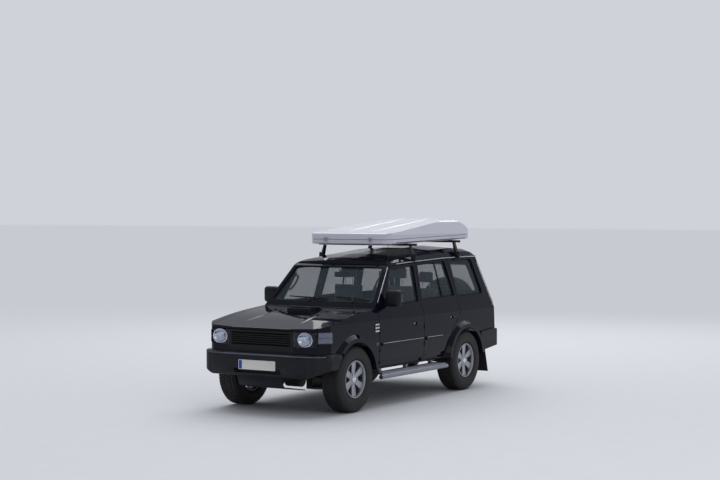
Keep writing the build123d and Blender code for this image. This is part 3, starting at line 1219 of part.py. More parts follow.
for side_x in (-SHELL_HINGE_X, SHELL_HINGE_X):
    pin = (side_x, SHELL_PIN_Y, SHELL_PIN_Z)
    leaf = block(
        side_x - HALF_KNUCKLE, side_x + HALF_KNUCKLE, SHELL_REAR_Y - 4, SHELL_PIN_Y, SHELL_PIN_Z + 2.5,
        SHELL_PIN_Z + LEAF,
    )
    shell_lid += moving_knuckle(pin, (1, 0, 0), leaf)
    shell_base += fixed_knuckles(pin, (1, 0, 0))
    for low_x in (side_x - 3 * HALF_KNUCKLE, side_x + HALF_KNUCKLE + SEAT_GAP):
        high_x = low_x + KNUCKLE_LENGTH - SEAT_GAP
        low_z, high_z = SHELL_PIN_Z - LEAF, SHELL_PIN_Z - 3
        shell_base += block(low_x, high_x, SHELL_REAR_Y - 4, SHELL_PIN_Y, low_z, high_z)
sleeping_mat = shell_band(SHELL_WALL + SEAT_GAP, SHELL_BASE_HEIGHT - SEAM_GAP - 4, SHELL_WALL + 12)

# Roof bars on feet that splay out to the gutters
FOOT_HALF = 28.0
FOOT_TOP_X = 612.0
FOOT_TOP_HALF = 30.0
CLAMP = 8.0
roof_bars = None
for bar_y in (FRONT_BAR_Y, REAR_BAR_Y):
    bar_top = shell_z(bar_y, -SEAT_GAP)
    bar_z = bar_top - BAR_RADIUS
    bar = rod((-BAR_HALF_LENGTH, bar_y, bar_z), (BAR_HALF_LENGTH, bar_y, bar_z), BAR_RADIUS - 0.4)
    foot_z = gutter_z(bar_y + FOOT_HALF) - 3 + SEAT_GAP
    foot_front = [
        (GUTTER_X + 4, foot_z, 0),
        (FOOT_TOP_X - FOOT_TOP_HALF, bar_z, 0),
        (FOOT_TOP_X + FOOT_TOP_HALF, bar_z, 0),
        (GUTTER_OUT_X + CLAMP, foot_z + 45, 12),
        (GUTTER_OUT_X + CLAMP, foot_z - GUTTER_DEPTH - 8, 0),
        (GUTTER_OUT_X + SEAT_GAP, foot_z - GUTTER_DEPTH - 8, 0),
        (GUTTER_OUT_X + SEAT_GAP, foot_z, 0),
    ]
    bar += pair(front_prism(foot_front, bar_y - FOOT_HALF, bar_y + FOOT_HALF) - inner_core(-SEAT_GAP))
    roof_bars = bar if roof_bars is None else roof_bars + bar

# Side steps: ribbed plate with a tube along its edge, on brackets under the sill
STEP_FRONT_Y = 560.0
STEP_REAR_Y = REAR_Y - 535.0
STEP_Z = 405.0
STEP_TUBE_X = 858.0
STEP_TUBE_RADIUS = 28.0
STEP_TUBE_DROP = 40.0
step = block(700, STEP_TUBE_X, STEP_FRONT_Y + 30, STEP_REAR_Y - 30, STEP_Z - 16, STEP_Z)
tube_z = STEP_Z - STEP_TUBE_DROP
step += rod((STEP_TUBE_X, STEP_FRONT_Y, tube_z), (STEP_TUBE_X, STEP_REAR_Y, tube_z), STEP_TUBE_RADIUS)
for bracket_y in (STEP_FRONT_Y + 180, (STEP_FRONT_Y + STEP_REAR_Y) / 2, STEP_REAR_Y - 180):
    step += block(700, 740, bracket_y - 30, bracket_y + 30, STEP_Z - 16, SILL_Z - SEAT_GAP)

# Mud flaps behind the rear wheels
FLAP = [(REAR_Y + 506, 500, 0), (REAR_Y + 518, 500, 0), (REAR_Y + 606, 195, 0), (REAR_Y + 594, 195, 0)]
mud_flap = side_prism(FLAP, 625, 868) - rear_bumper_hull(SEAT_GAP) - cabin_form(-SEAT_GAP)

# Cabin fittings: dashboard, steering wheel and seats
DASH = [
    (COWL_Y + WALL + SEAT_GAP, 820, 0),
    (COWL_Y + WALL + SEAT_GAP, 1180, 0),
    (720, 1185, 60),
    (900, 1150, 50),
    (960, 1060, 50),
    (900, 860, 60),
    (760, 820, 40),
]
dashboard = side_prism(DASH, -BELT_X, BELT_X) & cabin_form(WALL + SEAT_GAP) & inner_core(WALL + 12)
dashboard += block(-115, 115, 800, 1500, FLOOR_Z + FLOOR_THICKNESS + SEAT_GAP, 850)
STEERING_X = 370.0
STEERING_Y = 1085.0
STEERING_Z = 1080.0
column_axis = Vector(0, 1, 0.42).normalized()
wheel_plane = Plane(origin=(STEERING_X, STEERING_Y, STEERING_Z), z_dir=column_axis)
RIM_SIDES = 24
wheel_ring = wheel_plane * (RegularPolygon(202, RIM_SIDES) - RegularPolygon(174, RIM_SIDES))
steering_wheel = extrude(wheel_ring, amount=13, both=True)
steering_wheel += extrude(wheel_plane * Circle(60), amount=22, both=True)
for angle in (0, 120, 240):
    spoke = Rot(0, 0, angle + 30) * Box(190, 30, 16, align=(Align.MIN, Align.CENTER, Align.CENTER))
    steering_wheel += wheel_plane * spoke
column_back = wheel_plane.origin - column_axis * 200
steering_wheel += rod(tuple(wheel_plane.origin), tuple(column_back), 34)
steering_wheel -= side_prism(DASH, -BELT_X, BELT_X, -SEAT_GAP)

SEAT_X = 372.0
SEAT_HALF = 250.0
SEAT_BASE_Z = FLOOR_Z + FLOOR_THICKNESS + SEAT_GAP
SEAT_SIDE = [
    (1190, SEAT_BASE_Z + 130, 30),
    (1180, SEAT_BASE_Z + 275, 60),
    (1640, SEAT_BASE_Z + 240, 30),
    (1735, 1480, 50),
    (1850, 1470, 50),
    (1790, SEAT_BASE_Z + 160, 60),
    (1740, SEAT_BASE_Z + 110, 30),
]
HEADREST = [
    (1745, 1440, 0),
    (1742, 1515, 0),
    (1735, 1530, 30),
    (1745, 1650, 40),
    (1840, 1645, 40),
    (1850, 1520, 30),
    (1830, 1500, 0),
    (1830, 1440, 0),
]
seat = side_prism(SEAT_SIDE, SEAT_X - SEAT_HALF, SEAT_X + SEAT_HALF)
seat += side_prism(HEADREST, SEAT_X - 130, SEAT_X + 130)
seat += block(SEAT_X - 200, SEAT_X + 200, 1240, 1700, SEAT_BASE_Z, SEAT_BASE_Z + 140)
BENCH_HALF = 540.0
BENCH_SIDE = [
    (CARGO_FLOOR_Y - 230, SEAT_BASE_Z + 140, 30),
    (CARGO_FLOOR_Y - 235, SEAT_BASE_Z + 270, 60),
    (CARGO_FLOOR_Y + 230, SEAT_BASE_Z + 240, 30),
    (CARGO_FLOOR_Y + 320, 1400, 50),
    (CARGO_FLOOR_Y + 430, 1390, 50),
    (CARGO_FLOOR_Y + 380, CARGO_FLOOR_Z + FLOOR_THICKNESS + SEAT_GAP, 0),
    (CARGO_FLOOR_Y + SEAT_GAP, CARGO_FLOOR_Z + FLOOR_THICKNESS + SEAT_GAP, 0),
    (CARGO_FLOOR_Y - 40, SEAT_BASE_Z + 110, 0),
]
BENCH_REST_BACK = 1415.0
BENCH_REST_DROP = 85.0
bench = side_prism(BENCH_SIDE, -BENCH_HALF, BENCH_HALF)
for rest_x in (-310, 310):
    rest = [(y + CARGO_FLOOR_Y - BENCH_REST_BACK, z - BENCH_REST_DROP, r) for y, z, r in HEADREST]
    bench += side_prism(rest, rest_x - 120, rest_x + 120)
bench += block(
    -BENCH_HALF + 60, BENCH_HALF - 60, CARGO_FLOOR_Y - 200, CARGO_FLOOR_Y - 50,
    SEAT_BASE_Z, SEAT_BASE_Z + 145,
)

# Rod aerial on the left windscreen pillar
AERIAL_X = 712.0
AERIAL_Y = 968.0
AERIAL_FOOT_Z = 1610.0
aerial = rod((AERIAL_X, AERIAL_Y, AERIAL_FOOT_Z), (AERIAL_X, AERIAL_Y, 1955), 3)
aerial += rod((AERIAL_X - 24, AERIAL_Y, AERIAL_FOOT_Z), (AERIAL_X, AERIAL_Y, AERIAL_FOOT_Z), 8)
aerial -= inner_core(-SEAT_GAP)

write("body_tub", body_tub)
write("body_side_left", body_side_left)
write("body_side_right", body_side_right)
write("roof_panel", roof)
write("windscreen", windscreen)
write("quarter_windows", pair(side_pane(QUARTER_WINDOW)))
write("bonnet", bonnet)
write("front_wings", pair(wing))
write("headlamps", pair(headlamp))
write("turn_lamps", pair(turn_lamp))
write("rear_lamps", pair(rear_lamp))
write("grille_panel", grille)
write("radiator", radiator)
write("front_bumper", front_bumper)
write("rear_bumper", rear_bumper)
write("side_steps", pair(step))
write("mud_flaps", pair(mud_flap))
write("shell_base", shell_base)
write("shell_lid", shell_lid)
write("sleeping_mat", sleeping_mat)
write("roof_bars", roof_bars)
write("dashboard", dashboard)
write("steering_wheel", steering_wheel)
write("front_seats", pair(seat))
write("rear_seat", bench)
write("aerial", aerial)
write("chassis_frame", frame)
write("front_suspension", front_suspension)
write("upper_arms", upper_arms)
write("rear_axle", rear_axle)
write("engine_block", engine)
write("driveline", driveline)
write("fuel_tank", fuel_tank)
write("exhaust", exhaust)
write("tailgate", tailgate)
write("tailgate_glass", tail_glass)
write("spare_tyre", spare_tyre)
write("spare_rim", spare_rim)
LEFT_PIECES = [
    ("front_door", front_door),
    ("front_door_frame", front_door_frame),
    ("rear_door", rear_door),
    ("front_glass", side_pane(FRONT_WINDOW)),
    ("rear_glass", side_pane(REAR_WINDOW)),
    ("mirror", mirror_housing),
    ("knuckle", knuckle),
]
for end, wheel_y in (("front", FRONT_Y), ("rear", REAR_Y)):
    place = Pos(HALF_TRACK, wheel_y, AXLE_Z)
    LEFT_PIECES.append(("tyre_" + end, place * tyre))
    LEFT_PIECES.append(("rim_" + end, place * rim))
for name, shape in LEFT_PIECES:
    write(name + "_left", shape)
    write(name + "_right", flip(shape))
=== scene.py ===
# %% [markdown]
# # A long off-road estate car with a roof shell
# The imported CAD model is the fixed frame: its pieces stand in metres, at rest. This
# lesson gives every piece its real finish and adds what a designer leaves out of
# the solids: tread, trim, glass rims, stitching and small fittings.

import bmesh
import bpy
import json
import math
from mathutils import Matrix, Vector
from mathutils.bvhtree import BVHTree


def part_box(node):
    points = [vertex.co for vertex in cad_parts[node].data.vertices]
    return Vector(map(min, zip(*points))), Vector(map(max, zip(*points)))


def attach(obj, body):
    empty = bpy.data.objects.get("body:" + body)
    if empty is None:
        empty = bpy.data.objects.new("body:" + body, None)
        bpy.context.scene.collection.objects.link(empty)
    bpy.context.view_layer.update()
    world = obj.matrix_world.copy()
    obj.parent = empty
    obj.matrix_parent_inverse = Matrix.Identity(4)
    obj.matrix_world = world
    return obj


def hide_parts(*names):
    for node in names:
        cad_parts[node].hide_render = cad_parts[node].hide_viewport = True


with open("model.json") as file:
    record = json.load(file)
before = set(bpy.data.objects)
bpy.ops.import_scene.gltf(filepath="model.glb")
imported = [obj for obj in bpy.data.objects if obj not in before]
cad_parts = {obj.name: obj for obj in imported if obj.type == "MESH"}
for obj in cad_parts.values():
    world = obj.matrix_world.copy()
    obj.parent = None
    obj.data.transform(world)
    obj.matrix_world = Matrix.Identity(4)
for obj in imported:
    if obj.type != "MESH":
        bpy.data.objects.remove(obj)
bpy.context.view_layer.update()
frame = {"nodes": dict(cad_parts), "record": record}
nodes = frame["nodes"]

# %% [markdown]
# ## One way to write a finish
# A real surface is never one flat colour. Noise, height and edges change it a little.
# Blender keeps such recipes as nodes. Wiring them by hand hides the maths, so a small
# class wraps each output and lets Python's own + - * build the Math nodes.

# %% Wires and finishes


class Wire:
    """One output of a shader node, ready for sums."""

    def __init__(self, finish, socket):
        self.finish = finish
        self.socket = socket

    def __add__(self, other):
        return self.finish.sum("ADD", self, other)

    def __sub__(self, other):
        return self.finish.sum("SUBTRACT", self, other)

    def __mul__(self, other):
        return self.finish.sum("MULTIPLY", self, other)

    def __rsub__(self, other):
        return self.finish.sum("SUBTRACT", other, self)

    __radd__ = __add__
    __rmul__ = __mul__


class Finish:
    """One material: node() adds any node, sum() a Math node."""

    def __init__(self, name, **fixed):
        self.material = bpy.data.materials.new(name)
        self.material.use_nodes = True
        self.tree = self.material.node_tree
        self.shader = self.tree.nodes["Principled BSDF"]
        self.set(**fixed)

    def feed(self, socket, value):
        if isinstance(value, Wire):
            self.tree.links.new(value.socket, socket)
        else:
            socket.default_value = value

    def set(self, **values):
        """Sets sockets of the main shader: base_color becomes Base Color."""
        for name, value in values.items():
            label = name.replace("_", " ").title().replace("Ior", "IOR")
            self.feed(self.shader.inputs[label], value)
        return self

    def node(self, kind, settings=None, inputs=None, output=0):
        made = self.tree.nodes.new("ShaderNode" + kind)
        for name, value in (settings or {}).items():
            if name == "stops":
                for index, (place, colour) in enumerate(value):
                    stops = made.color_ramp.elements
                    stop = stops[index] if index < 2 else stops.new(place)
                    stop.position, stop.color = place, colour
            else:
                setattr(made, name, value)
        for key, value in (inputs or {}).items():
            self.feed(made.inputs[key], value)
        return Wire(self, made.outputs[output])

    def sum(self, operation, first, second):
        return self.node("Math", {"operation": operation}, {0: first, 1: second})


def clamp(value, low=0.0, high=1.0):
    """Maps a wire's low..high to 0..1."""
    return value.finish.node("MapRange", None, {"Value": value, "From Min": low, "From Max": high})


def noise(finish, scale, detail=3.0, where=None):
    """Even cloudy noise of about a given scale per metre."""
    place = where or finish.node("TexCoord", output=3)
    return finish.node("TexNoise", None, {"Vector": place, "Scale": scale, "Detail": detail})


def height(finish):
    """Height above the ground."""
    place = finish.node("TexCoord", output=3)
    return finish.node("SeparateXYZ", None, {0: place}, output=2)


def blend(finish, mask, first, second):
    """Colour mix by a mask, 0 gives the first."""
    wires = {"Factor": mask, 6: first, 7: second}
    return finish.node("Mix", {"data_type": "RGBA"}, wires, output=2)


def bump(finish, pattern, depth, strength=1.0):
    """Turns a pattern into a shallow relief, its depth in metres."""
    wires = {"Height": pattern, "Distance": depth, "Strength": strength}
    return finish.node("Bump", None, wires)


def colour(red, green, blue):
    return (red, green, blue, 1.0)


print("finish helpers ready")

# %% [markdown]
# ## Paint
# The body is a very dark blue-violet under clear lacquer. Sprayed lacquer keeps a faint ripple, and the lowest
# hand's width is rougher with road dust and painted paler, a painted sheen. Both are added to the plain colour.

# %% Body paint


def car_paint():
    paint = Finish("body_paint", coat_weight=1.0, coat_roughness=0.04, coat_ior=1.24, specular_ior_level=0.0)
    # Towards the bottom the paint is rougher, as with road dust, and painted paler, a painted sheen.
    sheen_and_dust = clamp(height(paint), 0.85, 0.42) * clamp(noise(paint, 9, 5), 0.3, 0.75)
    tone = blend(paint, clamp(noise(paint, 1.3), 0.3, 0.7), colour(0.0035, 0.0035, 0.010), colour(0.005, 0.005, 0.013))
    # This pale tone is the painted sheen near the bottom.
    tone = blend(paint, sheen_and_dust * 0.16, tone, colour(0.07, 0.066, 0.064))
    ripple = bump(paint, noise(paint, 55, 1), 0.0006, 0.12)
    return paint.set(base_color=tone, roughness=sheen_and_dust * 0.3 + 0.28, normal=ripple)


finishes = {"body_paint": car_paint()}
print("finishes", len(finishes))

# %% [markdown]
# ## Plastics, rubber and metal
# Moulded plastic has a leather-like grain about half a millimetre across. Rubber is
# duller and picks up dust. Bare metal shows faint casting or drawing marks.

# %% Moulded plastics


def moulded(name, tone, rough, grain=900, depth=0.0004, dusty=0.2):
    made = Finish(name, specular_ior_level=0.25)
    cloud = clamp(noise(made, 7, 4), 0.25, 0.8)
    dark = blend(made, cloud * dusty, colour(*tone), colour(*[0.8 * t + 0.02 for t in tone]))
    leather = made.node("TexVoronoi", None, {"Vector": made.node("TexCoord", output=3), "Scale": grain})
    relief = bump(made, leather, depth, 0.35)
    finishes[name] = made.set(base_color=dark, roughness=cloud * 0.12 + rough, normal=relief)


moulded("black_plastic", (0.006, 0.006, 0.008), 0.45)
moulded("bumper_plastic", (0.007, 0.007, 0.011), 0.4, dusty=0.25)
moulded("flap_rubber", (0.009, 0.009, 0.01), 0.6, dusty=0.4)
moulded("dash_plastic", (0.03, 0.03, 0.034), 0.55)
moulded("seal_rubber", (0.008, 0.008, 0.009), 0.5, dusty=0.1)
moulded("plate_pale", (0.72, 0.71, 0.66), 0.35, 300, 0.0001)
moulded("plate_blue", (0.02, 0.06, 0.35), 0.35, 300, 0.0001)
moulded("cell_pale", (0.16, 0.17, 0.24), 0.2, 200, 0.0008)
print("finishes", len(finishes))

# %% Rubber, gelcoat and metals


def worn(name, tone, stain, share, rough, spread, clouds, grain, **fixed):
    """A tone clouded by a stain. Clouds: scale, detail, low, high. Grain: scale, detail, depth, strength."""
    made = Finish(name, **fixed)
    cloud = clamp(noise(made, *clouds[:2]), *clouds[2:])
    tint = blend(made, cloud * share, colour(*tone), colour(*stain))
    relief = bump(made, noise(made, *grain[:2]), *grain[2:])
    finishes[name] = made.set(base_color=tint, roughness=cloud * spread + rough, normal=relief)


worn("tyre_rubber", (0.008, 0.008, 0.009), (0.03, 0.028, 0.026), 0.5, 0.62, 0.12,
     (22, 5, 0.35, 0.75), (420, 2, 0.0005, 0.4))
worn("black_metal", (0.006, 0.006, 0.007), (0.03, 0.026, 0.022), 0.6, 0.4, 0.25,
     (14, 5, 0.35, 0.75), (180, 2, 0.0005, 0.3))
worn("engine_iron", (0.16, 0.16, 0.165), (0.1, 0.09, 0.08), 1, 0.5, 0.2,
     (20, 5, 0.3, 0.75), (260, 3, 0.0008, 0.5), metallic=0.6)
worn("shell_white", (0.57, 0.57, 0.65), (0.45, 0.44, 0.48), 0.25, 0.3, 0.15,
     (3, 6, 0.5, 0.85), (160, 1, 0.0006, 0.15), coat_weight=0.6, coat_roughness=0.08)
METALS = [  # name, tone, roughness, scale of its clouds, share and tone of the stain
    ("wheel_alloy", (0.42, 0.43, 0.47), 0.3, 90, 0.16, (0.2, 0.18, 0.16)),
    ("bare_alloy", (0.4, 0.4, 0.42), 0.45, 30, 0.5, (0.12, 0.11, 0.1)),
    ("step_alloy", (0.33, 0.34, 0.38), 0.36, 80, 0.15, (0.18, 0.17, 0.16)),
    ("bright_trim", (0.75, 0.76, 0.79), 0.16, 30, 0.15, (0.3, 0.3, 0.31)),
    ("mirror_bright", (0.86, 0.87, 0.89), 0.05, 20, 0.08, (0.5, 0.5, 0.5)),
    ("bowl_bright", (0.62, 0.68, 0.8), 0.06, 45, 0.35, (0.2, 0.22, 0.3)),
    # Pale lavender metal for the painted highlight along the bumper's top edge.
    ("dull_trim", (0.16, 0.16, 0.22), 0.38, 30, 0.3, (0.06, 0.06, 0.09)),
    ("exhaust_steel", (0.34, 0.31, 0.28), 0.5, 25, 0.8, (0.13, 0.07, 0.04)),
]
for name, tone, rough, scale, share, stain in METALS:
    worn(name, tone, stain, share, rough, 0.14, (scale, 4, 0.3, 0.75), (scale * 9, 2, 0.0002, 0.3), metallic=1.0)
print("finishes", len(finishes))

# %% [markdown]
# ## Glass and lamps
# The windows have a blue-green tint, so the pale ground behind shows through them a
# little darker. Alpha keeps them see-through.

# %% Glass finishes


def clear(name, tone, alpha, rough=0.03):
    made = Finish(name, ior=1.6, alpha=alpha)
    smear = clamp(noise(made, 6, 4), 0.45, 0.8)
    tint = blend(made, smear * 0.3, colour(*tone), colour(*[t * 0.8 + 0.1 for t in tone]))
    finishes[name] = made.set(base_color=tint, roughness=smear * 0.05 + rough)


clear("tinted_glass", (0.02, 0.045, 0.06), 0.3)
clear("lamp_clear", (0.3, 0.34, 0.42), 0.1)
clear("lamp_amber", (0.22, 0.24, 0.32), 0.3)
clear("cell_amber", (0.6, 0.17, 0.02), 0.85, 0.12)
clear("lamp_red", (0.35, 0.01, 0.012), 0.92, 0.12)
print("finishes", len(finishes))

# %% Seat cloth


def seat_cloth():
    made = Finish("seat_cloth", sheen_weight=0.4, sheen_roughness=0.5)
    place = made.node("TexCoord", output=3)
    warp = made.node("TexWave", {"bands_direction": "DIAGONAL"}, {"Vector": place, "Scale": 260, "Distortion": 0.6}, 1)
    fleck = clamp(noise(made, 240, 2), 0.4, 0.65)
    tone = blend(made, fleck, colour(0.1, 0.1, 0.115), colour(0.2, 0.2, 0.225))
    return made.set(base_color=tone, roughness=0.9, normal=bump(made, warp + fleck, 0.0006, 0.5))


finishes["seat_cloth"] = seat_cloth()
print("finishes", len(finishes))

# %% [markdown]
# ## Dressing the CAD pieces
# The record names a finish for each node, so one loop dresses them all. A node of
# moulded trim inside the cabin takes the duller dashboard plastic.

# %% Assign finishes
INSIDE_TRIM = ("dashboard", "steering_wheel")
for entry in frame["record"]["subparts"]:
    finish_name = "dash_plastic" if entry["node"] in INSIDE_TRIM else entry["material_slot"]
    shown = nodes[entry["node"]]
    shown.data.materials.clear()
    shown.data.materials.append(finishes[finish_name].material)

# %% [markdown]
# ## Tools for shaping
# Most trim on a car is a small section carried along a line, a turned part, or a pressed
# block with rounded edges. So three helpers come first: `sweep`, `lathe` and `brick`.
# Each starts from a few vertices or a create_ shape and lets bmesh operators do the rest.

# %% Shaping helpers
FRONT_AXLE = 1.5775  # metres from the front axle to the middle of the car
SIDES = (("left", 1), ("right", -1))
TO_TOP = Matrix.Rotation(-math.pi / 2, 4, "Y")  # these turn the lathe's X axis
TO_FRONT, TO_BACK = (Matrix.Rotation(way * math.pi / 2, 4, "Z") for way in (-1, 1))
TO_SIDE = {1: Matrix(), -1: Matrix.Rotation(math.pi, 4, "Z")}
SLOTS = {entry["slot"] for entry in frame["record"]["materials"]}
NEAREST_SLOT = {  # for a finish that is only in this script
    "bright_trim": "wheel_alloy", "mirror_bright": "wheel_alloy", "bowl_bright": "wheel_alloy",
    "dull_trim": "wheel_alloy", "bare_alloy": "wheel_alloy", "plate_pale": "shell_white",
    "plate_blue": "lamp_clear", "cell_pale": "lamp_clear",
    "seal_rubber": "black_plastic", "dash_plastic": "black_plastic",
}


def at(x, y, z):
    """A point, with y counted from the front axle."""
    return Vector((x, y - FRONT_AXLE, z))


def shift(x, y, z):
    """A matrix that moves things to such a point."""
    return Matrix.Translation(at(x, y, z))


def join(form, part, place=None):
    """Adds one bmesh to another, moved by a matrix."""
    carrier = bpy.data.meshes.new("carrier")
    part.to_mesh(carrier)
    part.free()
    carrier.transform(place or Matrix())
    form.from_mesh(carrier)
    bpy.data.meshes.remove(carrier)


def soften(form, geom, offset, segments, affect="EDGES"):
    """Rounds some edges, or the corners of a flat face."""
    bmesh.ops.bevel(form, geom=geom, offset=offset, segments=segments, profile=0.5, affect=affect, material=-1)


def cube(start, end):
    """A new bmesh with one block between opposite corners."""
    part = bmesh.new()
    bmesh.ops.create_cube(part, size=1)
    bmesh.ops.scale(part, vec=[abs(b - a) for a, b in zip(start, end)], verts=part.verts)
    bmesh.ops.translate(part, vec=(start + end) / 2, verts=part.verts)
    return part


def brick(form, start, end, round_by=0.004, steps=2):
    """Adds a block with rounded edges."""
    part = cube(start, end)
    soften(part, part.edges[:], round_by, steps)
    join(form, part)


def outline(form, points):
    """Closed loop of edges through a few points."""
    verts = [form.verts.new(p) for p in points]
    return [form.edges.new((a, b)) for a, b in zip(verts, verts[1:] + verts[:1])]


def lathe(form, profile, place=None, steps=48):
    """Turns a profile of (along, radius) pairs about the X axis."""
    part = bmesh.new()
    verts = [part.verts.new((along, 0, radius)) for along, radius in profile]
    edges = [part.edges.new(pair) for pair in zip(verts, verts[1:])]
    spun = {"cent": (0, 0, 0), "axis": (1, 0, 0), "angle": math.tau, "steps": steps, "use_merge": True}
    bmesh.ops.spin(part, geom=verts + edges, **spun)
    bmesh.ops.remove_doubles(part, verts=part.verts, dist=1e-6)
    join(form, part, place)


def sweep(form, section, path, up=(0, 0, 1), closed=False):
    """Carries a section of (across, up) pairs along a path of points."""
    part = bmesh.new()
    rings = []
    last = len(path) - 1
    for index, point in enumerate(path):
        before = path[index - 1 if index or closed else 0]
        after = path[(index + 1) % len(path) if closed else min(index + 1, last)]
        along = (Vector(after) - Vector(before)).normalized()
        across = along.cross(Vector(up)).normalized()
        rise = across.cross(along)
        rings.append(outline(part, [Vector(point) + across * a + rise * b for a, b in section]))
    for ring, following in zip(rings, rings[1:] + (rings[:1] if closed else [])):
        bmesh.ops.bridge_loops(part, edges=ring + following)
    if not closed:
        for ring in (rings[0], rings[-1]):
            bmesh.ops.contextual_create(part, geom=ring)
    join(form, part)


def round_section(radius, sides=10):
    return [(radius * math.cos(math.tau * i / sides), radius * math.sin(math.tau * i / sides)) for i in range(sides)]


def flat_section(width, thick, edge=0.3):
    """Half-round strip, laid flat, wide across and thin upwards."""
    w, e = width / 2, width * edge / 2
    return [(-w, 0), (w, 0), (w, thick * 0.4), (w - e, thick), (-w + e, thick), (-w, thick * 0.4)]


def mesh_of(name, form):
    mesh = bpy.data.meshes.new(name)
    form.to_mesh(mesh)
    form.free()
    return mesh


def link(name, data):
    """A new object in the scene."""
    made = bpy.data.objects.new(name, data)
    bpy.context.collection.objects.link(made)
    return made


def piece(name, form, finish, body, slot=None, smooth=40, replaces=()):
    """Turns a bmesh into a finished piece that rides on a body."""
    bmesh.ops.remove_doubles(form, verts=form.verts, dist=1e-6)
    bmesh.ops.recalc_face_normals(form, faces=form.faces)
    mesh = mesh_of(name, form)
    mesh.polygons.foreach_set("use_smooth", [True] * len(mesh.polygons))
    mesh.set_sharp_from_angle(angle=math.radians(smooth))
    made = link(name, mesh)
    mesh.materials.append(finishes[finish].material)
    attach(made, body)
    slot or NEAREST_SLOT.get(finish) or (finish if finish in SLOTS else "black_plastic")
    if replaces:
        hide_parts(*replaces)
    return made


def blocks(name, finish, body, boxes, form=None, base=None, slot=None):
    """A piece of rounded blocks. A box has a corner, the opposite corner, rounding and steps."""
    form = bmesh.new() if form is None else form
    base = at(0, 0, 0) if base is None else base
    for start, end, round_by, steps in boxes:
        brick(form, base + Vector(start), base + Vector(end), round_by, steps)
    piece(name, form, finish, body, slot)


def row(places, half, low, high, round_by, steps):
    """Equal boxes side by side, each a half width to both sides of its x. Low and high are (y, z)."""
    return [((x - half, *low), (x + half, *high), round_by, steps) for x in places]


def swept(name, finish, body, section, *paths, up=(0, 0, 1), smooth=40):
    """A piece with one section along one or more paths."""
    form = bmesh.new()
    for path in paths:
        sweep(form, section, path, up)
    piece(name, form, finish, body, smooth=smooth)


def turned(name, finish, body, profile, *places, steps=24):
    """A piece with one turned profile at one or more places."""
    form = bmesh.new()
    for place in places:
        lathe(form, profile, place, steps)
    piece(name, form, finish, body)


def with_modifier(made, kind, **settings):
    """The mesh that one modifier gives, with the modifier taken off again."""
    extra = made.modifiers.new(kind, kind)
    for name, value in settings.items():
        setattr(extra, name, value)
    shaped = bpy.data.meshes.new_from_object(made.evaluated_get(bpy.context.evaluated_depsgraph_get()))
    made.modifiers.remove(extra)
    return shaped


def copy_of(node):
    """A CAD node's mesh as a bmesh, with its corners merged."""
    form = bmesh.new()
    form.from_mesh(nodes[node].data)
    bmesh.ops.remove_doubles(form, verts=form.verts, dist=1e-5)
    return form


def verts_of(geom):
    return [part for part in geom if isinstance(part, bmesh.types.BMVert)]


print("helpers ready, slots", len(SLOTS))

# %% [markdown]
# ## Finding the CAD surface
# Trim has to sit on the panel that carries it, so its place is read off the panel. A ray
# is shot at the chosen CAD nodes and the hit gives the point and the way the panel faces.

# %% Rays at the panels


class Panels:
    """Some CAD nodes as one target for rays."""

    def __init__(self, *names):
        form = bmesh.new()
        for name in names:
            form.from_mesh(nodes[name].data)
        self.tree = BVHTree.FromBMesh(form)
        form.free()

    def hit(self, start, way, lift=0.0):
        point, normal, _, _ = self.tree.ray_cast(start, Vector(way))
        if point is None:
            raise ValueError("no panel at %s" % (start,))
        if normal.dot(Vector(way)) > 0:
            normal = -normal
        return point + normal * lift

    def left(self, y, z, lift=0.0):
        return self.hit(at(2, y, z), (-1, 0, 0), lift)

    def top(self, x, y, lift=0.0):
        return self.hit(at(x, y, 3), (0, 0, -1), lift)

    def front(self, x, z, lift=0.0):
        return self.hit(at(x, -2, z), (0, 1, 0), lift)

    def back(self, x, z, lift=0.0):
        return self.hit(at(x, 5, z), (0, -1, 0), lift)


def between(points, gap=0.05):
    """Extra points along straight runs, no further apart than a gap."""
    made = [points[0]]
    for a, b in zip(points, points[1:]):
        count = max(1, round(math.dist(a, b) / gap))
        made += [tuple(p + (q - p) * i / count for p, q in zip(a, b)) for i in range(1, count + 1)]
    return made


body_sides = Panels("body_side_left", "front_wings")
print("side surface at the waist", round(body_sides.left(3.1, 1.0).x, 3))

# %% [markdown]
# ## Tyres
# An all-terrain tyre has a bulging sidewall with a raised ring, and blocks of rubber in
# rows that are set off from each other. The carcass is one turned profile. One block is
# bevelled and spun round for each row, a cheap way to get hundreds of equal lugs.

# %% Tyre carcass and tread
TYRE_HALF = [  # along the axle, radius
    (0.09, 0.2035), (0.1, 0.2035), (0.1015, 0.221), (0.109, 0.232), (0.1195, 0.243), (0.1215, 0.2455),
    (0.1255, 0.2465), (0.1268, 0.2515), (0.1262, 0.256), (0.1285, 0.266), (0.1312, 0.285), (0.1316, 0.305),
    (0.1302, 0.322), (0.1282, 0.3235), (0.1276, 0.3265), (0.1292, 0.3285), (0.1262, 0.345), (0.1205, 0.361),
    (0.112, 0.3715), (0.096, 0.3765), (0.06, 0.3788), (0.0, 0.3798),
]
TREAD_ROWS = [  # middle, width, top radius, length, turn in degrees
    (0.0, 0.034, 0.3878, 0.030, 14),
    (0.041, 0.035, 0.3878, 0.031, -16),
    (-0.041, 0.035, 0.3878, 0.031, -16),
    (0.082, 0.034, 0.3868, 0.029, 10),
    (-0.082, 0.034, 0.3868, 0.029, 10),
]
LUGS, LUG_DEPTH = 58, 0.016  # lugs in a row


def spun_copies(form, part, count):
    """Repeats a small bmesh evenly round the X axis."""
    geom = part.verts[:] + part.edges[:] + part.faces[:]
    turn = {"cent": (0, 0, 0), "axis": (1, 0, 0), "angle": math.tau * (count - 1) / count, "steps": count - 1}
    bmesh.ops.spin(part, geom=geom, use_duplicate=True, **turn)
    join(form, part)


